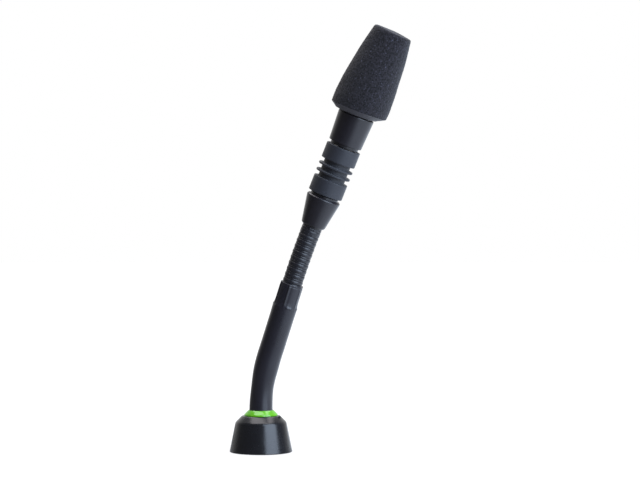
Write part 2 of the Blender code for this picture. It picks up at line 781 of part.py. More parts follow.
def make_isolator(tilting):
    """The moulded rubber isolator: two rings joined by a finned core, hollow for the studs."""
    zone_low = RUBBER_AT + RUBBER_RING_HEIGHT
    zone_high = zone_low + RUBBER_ZONE_HEIGHT
    spare = RUBBER_ZONE_HEIGHT - RUBBER_FIN_COUNT * RUBBER_FIN_HEIGHT
    groove = spare / (RUBBER_FIN_COUNT + 1)
    fins = []
    for i in range(RUBBER_FIN_COUNT):
        top = zone_high - groove - i * (groove + RUBBER_FIN_HEIGHT)
        low = top - RUBBER_FIN_HEIGHT
        fins += [(RUBBER_CORE_RADIUS, top), (RUBBER_FIN_RADIUS, top)]
        fins += [(RUBBER_FIN_RADIUS, low), (RUBBER_CORE_RADIUS, low)]
    pocket = STUD_FLANGE_RADIUS + GAP
    pocket_depth = STUD_FLANGE_HEIGHT + 2 * GAP
    outline = [
        (RUBBER_RING_RADIUS - RUBBER_EDGE, RUBBER_TOP_AT),
        (RUBBER_RING_RADIUS, RUBBER_TOP_AT - RUBBER_EDGE),
        (RUBBER_RING_RADIUS, zone_high),
        (RUBBER_CORE_RADIUS, zone_high),
        *fins,
        (RUBBER_CORE_RADIUS, zone_low),
        (RUBBER_RING_RADIUS, zone_low),
        (RUBBER_RING_RADIUS, RUBBER_AT + RUBBER_EDGE),
        (RUBBER_RING_RADIUS - RUBBER_EDGE, RUBBER_AT),
        (pocket, RUBBER_AT),
        (pocket, RUBBER_AT + pocket_depth),
        (RUBBER_BORE, RUBBER_AT + pocket_depth),
        (RUBBER_BORE, RUBBER_TOP_AT - pocket_depth),
        (pocket, RUBBER_TOP_AT - pocket_depth),
        (pocket, RUBBER_TOP_AT),
    ]
    isolator = turned("isolator_rubber", outline, rubber(), LARGE_STEPS)
    attach(isolator, tilting, head_frame(0))


def make_upper_stud(amp):
    flange = RUBBER_TOP_AT - GAP
    top = HOUSING_AT + UPPER_STUD_SHANK - GAP
    outline = [
        (UPPER_STUD_RADIUS, top),
        (UPPER_STUD_RADIUS, flange),
        (STUD_FLANGE_RADIUS, flange),
        (STUD_FLANGE_RADIUS, flange - STUD_FLANGE_HEIGHT),
        (CABLE_BORE, flange - STUD_FLANGE_HEIGHT),
        (CABLE_BORE, top),
    ]
    attach(turned("isolator_upper_stud", outline, steel()), amp, head_frame(0))


def make_preamp_housing(amp):
    """The flared tube under the windscreen, with the spigot that the cartridge screws on to."""
    body = HOUSING_AT + HOUSING_COLLAR_HEIGHT
    floor = HOUSING_AT + HOUSING_COLLAR_HEIGHT + HOUSING_FLOOR
    stud_bore = UPPER_STUD_RADIUS + GAP
    room = SPIGOT_RADIUS - SPIGOT_WALL
    outline = [
        (SPIGOT_RADIUS, SPIGOT_TOP_AT),
        (SPIGOT_RADIUS, HOUSING_TOP_AT),
        (HOUSING_TOP_RADIUS - HOUSING_EDGE, HOUSING_TOP_AT),
        (HOUSING_TOP_RADIUS, HOUSING_TOP_AT - HOUSING_EDGE),
        (HOUSING_BOTTOM_RADIUS, body + HOUSING_EDGE),
        (HOUSING_BOTTOM_RADIUS - HOUSING_EDGE, body),
        (HOUSING_COLLAR_RADIUS, body),
        (HOUSING_COLLAR_RADIUS, HOUSING_AT),
        (stud_bore, HOUSING_AT),
        (stud_bore, floor),
        (room, floor),
        (room, SPIGOT_TOP_AT),
    ]
    housing = turned("preamp_housing", outline, black_plastic(), LARGE_STEPS)
    attach(housing, amp, head_frame(0))


def make_preamp(amp):
    """The board that stands on edge in the housing, its chip and the spring pin above it."""
    low = HOUSING_AT + UPPER_STUD_SHANK + GAP
    middle = low + PREAMP_BOARD_LENGTH / 2
    size = (PREAMP_BOARD_WIDTH, BOARD_THICKNESS, PREAMP_BOARD_LENGTH)
    attach(block("preamp_board", size, circuit_board()), amp, head_frame(middle))
    chip = block("preamp_chip", (CHIP_WIDTH, CHIP_THICKNESS, CHIP_LENGTH), black_plastic())
    aside = Matrix.Translation((0, -(BOARD_THICKNESS + CHIP_THICKNESS) / 2 - GAP, 0))
    attach(chip, amp, head_frame(middle) @ aside)
    pin_low = low + PREAMP_BOARD_LENGTH + GAP
    pin = rod("cartridge_contact_pin", PIN_RADIUS, 0, PIN_LENGTH, gold(), TINY_STEPS)
    attach(pin, amp, head_frame(pin_low))


def make_cartridge_washer(lifting):
    inner = SPIGOT_RADIUS + GAP
    outer = SHELL_RADIUS
    washer = hoop("cartridge_washer", outer, inner, 0, WASHER_THICKNESS, rubber())
    attach(washer, lifting, head_frame(WASHER_AT))


def make_cartridge_shell(cartridge):
    thread_bore = SPIGOT_RADIUS + GAP
    outline = [
        (SHELL_RADIUS, SHELL_TOP_AT),
        (SHELL_RADIUS, SHELL_AT),
        (thread_bore, SHELL_AT),
        (thread_bore, LEDGE_AT),
        (LEDGE_BORE, LEDGE_AT),
        (LEDGE_BORE, LEDGE_TOP_AT),
        (SHELL_BORE, LEDGE_TOP_AT),
        (SHELL_BORE, SHELL_TOP_AT),
    ]
    shell = turned("cartridge_shell", outline, satin_black(), MEDIUM_STEPS)
    attach(shell, cartridge, head_frame(0))


def make_capsule(cartridge):
    """The electret capsule on the shell's ledge, its gasket, and the board under the ledge."""
    board_top = LEDGE_AT - GAP
    board = rod(
        "capsule_board",
        SPIGOT_RADIUS - GAP,
        board_top - BOARD_THICKNESS,
        board_top,
        circuit_board(),
        MEDIUM_STEPS,
    )
    attach(board, cartridge, head_frame(0))
    low = LEDGE_TOP_AT + GAP
    top = low + CAPSULE_LENGTH
    case = material("capsule_case", "#b8b8ba", 0.3, 1.0)
    capsule = rod("electret_capsule", CAPSULE_RADIUS, low, top, case, MEDIUM_STEPS)
    attach(capsule, cartridge, head_frame(0))
    outer = SHELL_BORE - GAP
    inner = CAPSULE_RADIUS + GAP
    gasket = hoop("capsule_gasket", outer, inner, low, low + GASKET_HEIGHT, rubber())
    attach(gasket, cartridge, head_frame(0))


def make_acoustic_cloth(cartridge):
    top = GRILLE_AT - GRILLE_SKIRT_DEPTH - GAP
    cloth = rod(
        "acoustic_cloth",
        SHELL_BORE - GAP,
        top - CLOTH_THICKNESS,
        top,
        material("acoustic_cloth", "#2a2a2c", 0.9),
        MEDIUM_STEPS,
    )
    attach(cloth, cartridge, head_frame(0))


def make_grille(cartridge):
    """The cap over the capsule, with a ring of holes round a middle one."""
    skirt = SHELL_BORE - GAP
    room = skirt - GRILLE_SKIRT_WALL
    low = GRILLE_AT - GRILLE_SKIRT_DEPTH
    top = GRILLE_AT + GRILLE_THICKNESS
    outline = [
        (0, top),
        (SHELL_RADIUS, top),
        (SHELL_RADIUS, GRILLE_AT),
        (skirt, GRILLE_AT),
        (skirt, low),
        (room, low),
        (room, GRILLE_AT),
        (0, GRILLE_AT),
    ]
    grille = turned("cartridge_grille", outline, satin_black(), MEDIUM_STEPS)
    attach(grille, cartridge, head_frame(0))
    places = [Matrix()] + round_places(GRILLE_HOLE_COUNT, GRILLE_HOLE_CIRCLE, 0)
    for i, place in enumerate(places):
        hole = rod(
            f"grille_hole_{i + 1}",
            GRILLE_HOLE_RADIUS,
            low,
            top + GRILLE_THICKNESS,
            satin_black(),
            TINY_STEPS,
        )
        attach(hole, cartridge, head_frame(0) @ place)
        cut(grille, hole)


def make_snap_ring(windscreen):
    low = FOAM_AT + FOAM_LIP + GAP
    inner = SHELL_RADIUS + GAP
    outer = inner + SNAP_RING_WALL
    ring = hoop("windscreen_ring", outer, inner, low, low + SNAP_RING_HEIGHT, black_plastic())
    attach(ring, windscreen, head_frame(0))


def foam_side(high, low):
    """The windscreen's tapered side, top to bottom, a little fuller than straight."""
    side = []
    for i in range(FOAM_SIDE_STEPS + 1):
        share = i / FOAM_SIDE_STEPS
        straight = FOAM_TOP_RADIUS + (FOAM_WIDEST_RADIUS - FOAM_TOP_RADIUS) * share
        side.append((straight + 4 * FOAM_BULGE * share * (1 - share), high + (low - high) * share))
    return side


def make_foam(windscreen):
    """The foam windscreen, hollow for the cartridge and recessed for its ring."""
    top = FOAM_AT + FOAM_LENGTH
    seat = SHELL_RADIUS + 2 * GAP + SNAP_RING_WALL
    seat_top = FOAM_AT + FOAM_LIP + SNAP_RING_HEIGHT + 2 * GAP
    bore = SHELL_RADIUS + FOAM_LIP_CLEARANCE
    roof = GRILLE_AT + GRILLE_THICKNESS + CAVITY_HEADROOM
    outline = [
        (0, top),
        (FOAM_TOP_RADIUS - FOAM_TOP_ROUND, top),
        *foam_side(top - FOAM_TOP_ROUND, FOAM_AT + FOAM_WIDEST_AT),
        (FOAM_BOTTOM_RADIUS, FOAM_AT + FOAM_CHAMFER_HEIGHT),
        (FOAM_BOTTOM_RADIUS - FOAM_CHAMFER_WIDTH, FOAM_AT),
        (bore, FOAM_AT),
        (bore, FOAM_AT + FOAM_LIP),
        (seat, FOAM_AT + FOAM_LIP),
        (seat, seat_top),
        (bore, seat_top),
        (bore, roof),
        (0, roof),
    ]
    foam = material("open_cell_foam", "#2c2b31", 0.95)
    attach(turned("foam_windscreen", outline, foam, LARGE_STEPS), windscreen, head_frame(0))


PIVOTS = {}


def make_base():
    base = pivot("base_pivot", Matrix())
    make_base_bell(base)
    make_lock_screw(base)
    make_base_plate(base)
    make_plate_screws(base)
    make_contacts(base)
    make_connector_board(base)
    make_neck_collar(base)
    make_light_ring(base)
    make_led_board(base)
    return base


def make_head(head):
    """Everything above the neck: cone, isolator, preamplifier, cartridge and windscreen."""
    make_adapter_cone(head)
    make_lower_stud(head)
    middle = head_frame(RUBBER_AT + RUBBER_LENGTH / 2)
    tilting = pivot("isolator_pivot", middle, head)
    make_isolator(tilting)
    amp = pivot("preamp_pivot", middle, tilting)
    make_upper_stud(amp)
    make_preamp_housing(amp)
    make_preamp(amp)
    lifting = pivot("washer_pivot", head_frame(WASHER_AT), amp)
    make_cartridge_washer(lifting)
    cartridge = pivot("cartridge_pivot", head_frame(SHELL_AT), lifting)
    make_cartridge_shell(cartridge)
    make_capsule(cartridge)
    make_acoustic_cloth(cartridge)
    make_grille(cartridge)
    windscreen = pivot("windscreen_pivot", head_frame(FOAM_AT), cartridge)
    make_snap_ring(windscreen)
    make_foam(windscreen)


def main():
    clear_scene()
    base = make_base()
    head = make_neck(base)
    make_neck_sleeve(base)
    make_signal_cable(base)
    make_head(head)


main()
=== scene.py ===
"""Looks of a gooseneck podium microphone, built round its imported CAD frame.

Metres, +Z up. The foot stands on the floor at the origin and the neck leans towards +X.
"""

import json
import math

import bmesh
import bpy
import numpy as np
from mathutils import Matrix, Vector, noise

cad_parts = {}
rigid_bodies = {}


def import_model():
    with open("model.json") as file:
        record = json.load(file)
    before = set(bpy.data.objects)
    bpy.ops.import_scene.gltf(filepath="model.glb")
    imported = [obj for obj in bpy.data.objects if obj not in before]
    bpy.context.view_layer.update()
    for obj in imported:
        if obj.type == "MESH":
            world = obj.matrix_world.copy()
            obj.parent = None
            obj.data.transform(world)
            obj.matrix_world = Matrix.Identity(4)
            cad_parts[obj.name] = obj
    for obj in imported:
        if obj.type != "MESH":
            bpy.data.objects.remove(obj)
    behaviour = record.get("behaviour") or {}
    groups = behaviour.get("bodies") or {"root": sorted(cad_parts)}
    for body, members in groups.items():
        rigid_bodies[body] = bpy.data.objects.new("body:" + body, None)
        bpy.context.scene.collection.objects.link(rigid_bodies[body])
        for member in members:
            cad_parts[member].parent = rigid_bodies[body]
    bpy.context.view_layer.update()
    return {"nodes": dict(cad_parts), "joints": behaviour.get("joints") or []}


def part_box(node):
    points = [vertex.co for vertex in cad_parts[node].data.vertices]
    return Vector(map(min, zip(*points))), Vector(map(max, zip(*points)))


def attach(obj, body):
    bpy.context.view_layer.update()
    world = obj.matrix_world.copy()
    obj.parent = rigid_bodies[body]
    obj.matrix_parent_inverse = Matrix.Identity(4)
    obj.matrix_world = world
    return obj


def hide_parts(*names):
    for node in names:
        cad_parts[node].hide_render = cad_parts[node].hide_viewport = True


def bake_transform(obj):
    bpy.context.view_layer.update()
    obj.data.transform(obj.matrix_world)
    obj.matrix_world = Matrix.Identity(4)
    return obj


bl_info = {
    "name": "Gooseneck Podium Microphone",
    "version": (1, 0, 0),
    "blender": (4, 5, 0),
    "location": "View3D > Sidebar > Microphone",
    "description": "Builds a short gooseneck microphone piece by piece on its CAD frame",
    "category": "Object",
}

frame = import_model()
NODES = frame["nodes"]
JOINTS = {joint["name"]: joint for joint in frame["joints"]}
MM = 0.001
FINE_STEPS = 128
PLAIN_STEPS = 64
SHARP_ANGLE = math.radians(35)
UNIT = {"unit": "LENGTH", "subtype": "DISTANCE", "precision": 5}


# ---------------------------------------------------------------- measures from the frame


def head_matrix():
    """The head's frame: its origin at the isolator's middle, +Z along the head's axis."""
    axis = Vector(JOINTS["windscreen_pull_off"]["axis"])
    middle = Matrix.Translation(JOINTS["isolator_lean"]["pos_m"])
    return middle @ Matrix.Rotation(math.atan2(axis.x, axis.z), 4, "Y")


HEAD = head_matrix()


def span(node, placed=HEAD):
    """(lowest, highest, widest radius) of a CAD node along and about a frame's Z."""
    inverse = placed.inverted()
    points = np.array([inverse @ v.co for v in NODES[node].data.vertices])
    radius = np.hypot(points[:, 0], points[:, 1]).max()
    return points[:, 2].min(), points[:, 2].max(), radius


NECK_CHAIN = [joint for joint in frame["joints"] if joint["name"].startswith("neck_")]
NECK_TOP = HEAD @ Vector((0, 0, span("adapter_cone")[0]))
RING_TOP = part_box("light_ring")[1].z


class Centreline:
    """A smooth line through the neck's joints, upright at the foot and on the head's axis above."""

    STEP = 0.1 * MM

    def __init__(self):
        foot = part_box("signal_cable")[0].z
        joints = [Vector(joint["pos_m"]) for joint in NECK_CHAIN]
        head_axis = (HEAD.to_3x3() @ Vector((0, 0, 1))).normalized()
        knots = [Vector((0, 0, foot)), Vector((0, 0, RING_TOP)), *joints, NECK_TOP]
        above = HEAD @ Vector((0, 0, span("preamp_housing")[1]))
        knots.append(above)
        tangents = [Vector((0, 0, 1)), Vector((0, 0, 1))]
        for before, here, after in zip(knots[1:], knots[2:-1], knots[3:]):
            tangents.append(self.bisected(before, here, after))
        tangents.append(head_axis)
        tangents[-2] = head_axis
        points = [knots[0]]
        for i in range(len(knots) - 1):
            chord = (knots[i + 1] - knots[i]).length
            count = max(2, round(chord / self.STEP))
            for k in range(1, count + 1):
                points.append(self.hermite(knots, tangents, i, chord, k / count))
        self.points = np.array(points)
        runs = np.linalg.norm(np.diff(self.points, axis=0), axis=1)
        self.lengths = np.concatenate([[0], np.cumsum(runs)])
        self.total = self.lengths[-1]

    @staticmethod
    def bisected(before, here, after):
        low, high = here - before, after - here
        return (low / low.length**2 + high / high.length**2).normalized()

    @staticmethod
    def hermite(knots, tangents, i, chord, t):
        t2, t3 = t * t, t * t * t
        place = (2 * t3 - 3 * t2 + 1) * knots[i] + (3 * t2 - 2 * t3) * knots[i + 1]
        place += (t3 - 2 * t2 + t) * chord * tangents[i] + (t3 - t2) * chord * tangents[i + 1]
        return place

    def place(self, at):
        return Vector([np.interp(at, self.lengths, self.points[:, k]) for k in range(3)])

    def matrix(self, at):
        """The frame at a length along the line, +Z along it and +Y the world's."""
        reach = self.STEP * 4
        run = self.place(min(at + reach, self.total)) - self.place(max(at - reach, 0))
        return Matrix.Translation(self.place(at)) @ Matrix.Rotation(math.atan2(run.x, run.z), 4, "Y")

    def where(self, point):
        """The length along the line at the sample nearest to a point."""
        return float(self.lengths[np.linalg.norm(self.points - np.array(point), axis=1).argmin()])


LINE = Centreline()
JOINT_AT = [LINE.where(joint["pos_m"]) for joint in NECK_CHAIN]
NECK_END = LINE.where(NECK_TOP)


# ---------------------------------------------------------------- sizes and colours


def linear(hex_colour):
    """Linear RGB from an sRGB hex colour."""
    parts = [int(hex_colour[i : i + 2], 16) / 255 for i in (1, 3, 5)]
    return tuple(p / 12.92 if p <= 0.04045 else ((p + 0.055) / 1.055) ** 2.4 for p in parts)


def size(name, description, millimetres):
    return bpy.props.FloatProperty(
        name=name, description=description, default=millimetres * MM, min=0, **UNIT
    )


def colour(name, description, hex_colour):
    return bpy.props.FloatVectorProperty(
        name=name,
        description=description,
        default=linear(hex_colour),
        subtype="COLOR",
        min=0,
        max=1,
        size=3,
    )


class MicFootSizes(bpy.types.PropertyGroup):
    skirt_radius: size("Skirt radius", "Radius where the skirt meets the shoulder", 10.2)
    skirt_height: size("Skirt height", "Height of the skirt's upper edge", 11.8)
    ledge_radius: size("Ledge radius", "Outer radius of the flat top round the ring", 7.6)
    shoulder_round: size("Shoulder round", "Rounding between skirt and shoulder", 0.7)
    edge_round: size("Edge round", "Rounding of the foot's lower edge", 0.18)
    wall: size("Wall", "Thickness of the foot's moulded wall", 1.05)
    recess_socket: size("Hex socket", "Width across flats of the lock screw's socket", 0.7)


class MicNeckSizes(bpy.types.PropertyGroup):
    sleeve_root_radius: size("Sleeve root radius", "Outer radius of the sleeve at the foot", 4.65)
    sleeve_waist_radius: size("Sleeve waist radius", "Outer radius in the middle of the bend", 4.48)
    sleeve_body_radius: size("Sleeve body radius", "Outer radius along the straight", 4.9)
    sleeve_crimp_radius: size("Sleeve crimp radius", "Outer radius over the inner ferrule", 4.95)
    sleeve_bore: size("Sleeve bore", "Inner radius of the sleeve", 3.85)
    bare_below_joint: size("Sleeve end", "Distance from the sleeve's end to the next joint", 2.9)
    crimp_length: size("Crimp length", "Length that the sleeve is shrunk onto the ferrule's flats", 10.4)
    crimp_depth: size("Crimp depth", "How far the ferrule's flats draw the sleeve in", 0.32)
    rib_radius: size("Rib radius", "Outer radius of the winding", 4.05)
    rib_depth: size("Rib depth", "Depth of the groove between two turns", 0.3)
    rib_pitch: size("Rib pitch", "Distance from one turn of the winding to the next", 2.35)
    wire_width: size("Wire width", "Width of the round wire of the winding", 1.5)
    wedge_drop: size("Wedge drop", "How much lower than the wire the wedge wire lies", 0.1)
    winding_bore: size("Winding bore", "Inner radius of the winding", 1.9)
    cable_radius: size("Cable radius", "Radius of the signal cable", 0.9)


class MicHeadSizes(bpy.types.PropertyGroup):
    edge: size("Edge round", "Rounding of the moulded edges", 0.25)
    cone_chamfer: size("Cone chamfer", "Chamfer at the cone's upper edge", 0.55)
    fin_height: size("Fin height", "Thickness of the isolator's fins", 0.95)
    fin_core: size("Fin core", "Radius of the rubber between the fins", 5.4)
    ring_height: size("Ring height", "Height of the isolator's plain rings", 6.2)
    grille_hole: size("Grille hole", "Diameter of a hole in the cartridge's grille", 0.7)
    grille_pitch: size("Grille pitch", "Distance between the grille's holes", 1.15)


class MicFoamSizes(bpy.types.PropertyGroup):
    widest_at: size("Widest at", "Height of the widest place above the underside", 6.0)
    lower_radius: size("Lower radius", "Radius just above the lower chamfer", 11.3)
    top_radius: size("Top radius", "Radius below the top's rounding", 7.9)
    chamfer_height: size("Chamfer height", "Height of the cut at the lower edge", 1.9)
    chamfer_width: size("Chamfer width", "Width of the cut at the lower edge", 2.9)
    cut_tilt: size("Cut tilt", "How much higher the cut is on one side than level", 0.5)
    top_round: size("Top round", "Rounding of the top edge", 0.7)
    cell: size("Cell", "Width of the foam's cells", 0.75)
    bulge: size("Bulge", "How much fuller than straight the side is", 0.5)
    lean: size("Lean", "How far the soft foam's top leans past its cartridge", 1.5)
    pit_depth: size("Pit depth", "Depth of an open cell at the surface", 0.16)
    voxel: size("Voxel", "Grid that the foam's surface is meshed on", 0.3)


class MicColours(bpy.types.PropertyGroup):
    foot: colour("Foot", "Moulded plastic of the foot", "#101116")
    housing: colour("Housing", "Moulded plastic of the cone and the housing", "#16141b")
    sleeve: colour("Sleeve", "Shrunk cover of the neck", "#17161f")
    winding: colour("Winding", "Coated wire of the neck", "#15151c")
    rubber: colour("Rubber", "Isolator", "#1f2129")
    foam: colour("Foam", "Windscreen", "#19171b")
    # Painted light: the lower band's colour is lighter for the light that the floor throws up on to it.
    lower_band_painted_light: colour("Cut foam", "Hot-cut band at the windscreen's lower edge", "#47464b")
    # Painted glints: the light colour put on the foam where cell walls would catch the light.
    foam_painted_glint: colour("Foam speck", "Cut cell walls that catch the light", "#4a4a58")
    light: colour("Lit ring", "Colour of the light ring when lit", "#59a51a")
    floor: colour("Floor", "Paper under and behind the microphone", "#f4f4f4")


class MicStageSettings(bpy.types.PropertyGroup):
    camera_turn: bpy.props.FloatProperty(
        name="Camera turn",
        description="Angle of the camera round the foot, from the front",
        default=math.radians(22),
        subtype="ANGLE",
    )
    camera_distance: size("Camera distance", "Distance from the foot's axis to the camera", 720)
    camera_height: size("Camera height", "Height of the camera above the floor", 84.6)
    camera_aside: size("Camera aside", "How far right of the foot's axis the camera looks", 23.6)
    camera_width: size("Camera width", "Width of the view at the foot's axis", 256)
    key_power: bpy.props.FloatProperty(
        name="Key power", description="Power of the right-hand softbox", default=21.0, min=0
    )
    top_power: bpy.props.FloatProperty(
        name="Top power", description="Power of the overhead softbox", default=15.0, min=0
    )
    ambient: bpy.props.FloatProperty(
        name="Ambient", description="Strength of the room's light", default=0.17, min=0
    )


class MicSettings(bpy.types.PropertyGroup):
    foot: bpy.props.PointerProperty(type=MicFootSizes)
    neck: bpy.props.PointerProperty(type=MicNeckSizes)
    head: bpy.props.PointerProperty(type=MicHeadSizes)
    foam: bpy.props.PointerProperty(type=MicFoamSizes)
    colours: bpy.props.PointerProperty(type=MicColours)
    stage: bpy.props.PointerProperty(type=MicStageSettings)


# ---------------------------------------------------------------- mesh helpers


def rounded(corners, steps=5):
    """An outline of (radius, height) from corners of (radius, height, rounding)."""
    outline = []
    count = len(corners)
    for i, (radius, height, rounding) in enumerate(corners):
        here = Vector((radius, height))
        if rounding <= 0:
            outline.append(tuple(here))
            continue
        before = Vector(corners[i - 1][:2]) - here
        after = Vector(corners[(i + 1) % count][:2]) - here
        reach = min(rounding, before.length * 0.49, after.length * 0.49)
        low = here + before.normalized() * reach
        high = here + after.normalized() * reach
        for k in range(steps + 1):
            t = k / steps
            outline.append(tuple((1 - t) ** 2 * low + 2 * t * (1 - t) * here + t * t * high))
    return outline


def turned(outline, steps=FINE_STEPS):
    """A mesh turned about Z. An outline that starts and ends on the axis is solid."""
    bm = bmesh.new()
    points = [bm.verts.new((radius, 0, height)) for radius, height in outline]
    edges = [bm.edges.new(pair) for pair in zip(points, points[1:])]
    if outline[0][0] > 0 or outline[-1][0] > 0:
        edges.append(bm.edges.new((points[-1], points[0])))
    bmesh.ops.spin(
        bm,
        geom=points + edges,
        axis=(0, 0, 1),
        cent=(0, 0, 0),
        angle=math.tau,
        steps=steps,
        use_merge=True,
    )
    return closed_mesh(bm)


def closed_mesh(bm):
    bmesh.ops.remove_doubles(bm, verts=bm.verts, dist=1e-7)
    bmesh.ops.recalc_face_normals(bm, faces=bm.faces)
    mesh = bpy.data.meshes.new("shape")
    bm.to_mesh(mesh)
    bm.free()
    return mesh


def lay_on_line(mesh):
    """Moves a mesh made straight along Z, with Z as length, on to the neck's centre line."""
    heights = sorted({round(v.co.z, 7) for v in mesh.vertices})
    frames = {height: LINE.matrix(height) for height in heights}
    for vertex in mesh.vertices:
        x, y, height = vertex.co
        vertex.co = frames[round(height, 7)] @ Vector((x, y, 0))
    return mesh


def helper(name, mesh):
    """A new object in the scene that holds the mesh, or the curve."""
    obj = bpy.data.objects.new(name, mesh)
    bpy.context.scene.collection.objects.link(obj)
    return obj


def dismiss(*objects):
    for obj in objects:
        bpy.data.objects.remove(obj, do_unlink=True)


def baked(obj):
    """The object's mesh with its modifiers applied. The object itself is removed."""
    graph = bpy.context.evaluated_depsgraph_get()
    mesh = bpy.data.meshes.new_from_object(obj.evaluated_get(graph), depsgraph=graph)
    dismiss(obj)
    return mesh


def without(mesh, cutters):
    """A mesh with other meshes cut out of it."""
    body = helper("body", mesh)
    tools = [helper("cutter", cutter) for cutter in cutters]
    for tool in tools:
        taken = body.modifiers.new("cut", "BOOLEAN")
        taken.operation = "DIFFERENCE"
        taken.solver = "EXACT"
        taken.object = tool
    result = baked(body)
    dismiss(*tools)
    return result


def piece(name, mesh, coat, replaced=(), body=None, placed=None):
    """A finished piece: its place goes into its mesh, and it rides on a body when one is given. Its
    coat is the function that makes its material."""
    if placed is not None:
        mesh.transform(placed)
    mesh.shade_smooth()
    mesh.set_sharp_from_angle(angle=SHARP_ANGLE)
    mesh.materials.clear()
    mesh.materials.append(finish(coat))
    mesh.name = name
    obj = helper(name, mesh)
    if body:
        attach(obj, body)
    if replaced:
        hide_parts(*replaced)
    return obj


# ---------------------------------------------------------------- geometry node trees


def fill(tree, node, inputs):
    """Sets or links a node's inputs, by name or number."""
    for key, value in inputs.items():
        if isinstance(value, bpy.types.NodeSocket):
            tree.links.new(value, node.inputs[key])
        else:
            node.inputs[key].default_value = value


def add(tree, kind, inputs=(), **settings):
    """Adds a node, sets its properties and fills its inputs."""
    made = tree.nodes.new(kind)
    for key, value in settings.items():
        setattr(made, key, value)
    fill(tree, made, dict(inputs))
    return made


def new_geometry_tree(name, inputs):
    """A geometry tree with a geometry output and the inputs given as (name, socket type, default)."""
    tree = bpy.data.node_groups.new(name, "GeometryNodeTree")
    tree.interface.new_socket("Geometry", in_out="INPUT", socket_type="NodeSocketGeometry")
    for label, kind, default in inputs:
        socket = tree.interface.new_socket(label, in_out="INPUT", socket_type=kind)
        if default is not None:
            socket.default_value = default
    tree.interface.new_socket("Geometry", in_out="OUTPUT", socket_type="NodeSocketGeometry")
    return tree, tree.nodes.new("NodeGroupInput").outputs


def end_geometry_tree(tree, geometry, finish):
    """Realizes the instances, sets the material and joins the tree's output."""
    real = add(tree, "GeometryNodeRealizeInstances", {0: geometry})
    coated = add(tree, "GeometryNodeSetMaterial", {"Geometry": real.outputs[0], "Material": finish})
    add(tree, "NodeGroupOutput", {0: coated.outputs[0]})


def ring_of_copies_tree():
    """Copies of an object spaced evenly on a circle about Z."""
    tree, given = new_geometry_tree(
        "ring_of_copies",
        [
            ("Copy", "NodeSocketObject", None),
            ("Count", "NodeSocketInt", 3),
            ("Radius", "NodeSocketFloat", MM),
            ("Height", "NodeSocketFloat", 0.0),
            ("Phase", "NodeSocketFloat", 0.0),
            ("Finish", "NodeSocketMaterial", None),
        ],
    )
    points = add(tree, "GeometryNodePoints", {"Count": given["Count"]})
    index = add(tree, "GeometryNodeInputIndex")
    share = add(tree, "ShaderNodeMath", {0: index.outputs[0], 1: given["Count"]}, operation="DIVIDE")
    angle = add(
        tree,
        "ShaderNodeMath",
        {0: share.outputs[0], 1: math.tau, 2: given["Phase"]},
        operation="MULTIPLY_ADD",
    )
    cosine = add(tree, "ShaderNodeMath", {0: angle.outputs[0]}, operation="COSINE")
    sine = add(tree, "ShaderNodeMath", {0: angle.outputs[0]}, operation="SINE")
    radius = given["Radius"]
    across = add(tree, "ShaderNodeMath", {0: cosine.outputs[0], 1: radius}, operation="MULTIPLY")
    along = add(tree, "ShaderNodeMath", {0: sine.outputs[0], 1: radius}, operation="MULTIPLY")
    place = add(
        tree,
        "ShaderNodeCombineXYZ",
        {0: across.outputs[0], 1: along.outputs[0], 2: given["Height"]},
    )
    put = add(
        tree,
        "GeometryNodeSetPosition",
        {"Geometry": points.outputs[0], "Position": place.outputs[0]},
    )
    turn = add(tree, "ShaderNodeCombineXYZ", {2: angle.outputs[0]})
    rotation = add(tree, "FunctionNodeEulerToRotation", {0: turn.outputs[0]})
    source = add(tree, "GeometryNodeObjectInfo", {"Object": given["Copy"], "As Instance": True})
    copies = add(
        tree,
        "GeometryNodeInstanceOnPoints",
        {
            "Points": put.outputs[0],
            "Instance": source.outputs["Geometry"],
            "Rotation": rotation.outputs[0],
        },
    )
    end_geometry_tree(tree, copies.outputs[0], given["Finish"])
    return tree


def turns_along_line_tree():
    """Copies of a turn of wire along a curve, each square to it."""
    tree, given = new_geometry_tree(
        "turns_along_line",
        [
            ("Turn", "NodeSocketObject", None),
            ("Count", "NodeSocketInt", 4),
            ("Finish", "NodeSocketMaterial", None),
        ],
    )
    points = add(
        tree,
        "GeometryNodeCurveToPoints",
        {"Curve": given["Geometry"], "Count": given["Count"]},
        mode="COUNT",
    )
    source = add(tree, "GeometryNodeObjectInfo", {"Object": given["Turn"], "As Instance": True})
    copies = add(
        tree,
        "GeometryNodeInstanceOnPoints",
        {
            "Points": points.outputs["Points"],
            "Instance": source.outputs["Geometry"],
            "Rotation": points.outputs["Rotation"],
        },
    )
    end_geometry_tree(tree, copies.outputs[0], given["Finish"])
    return tree


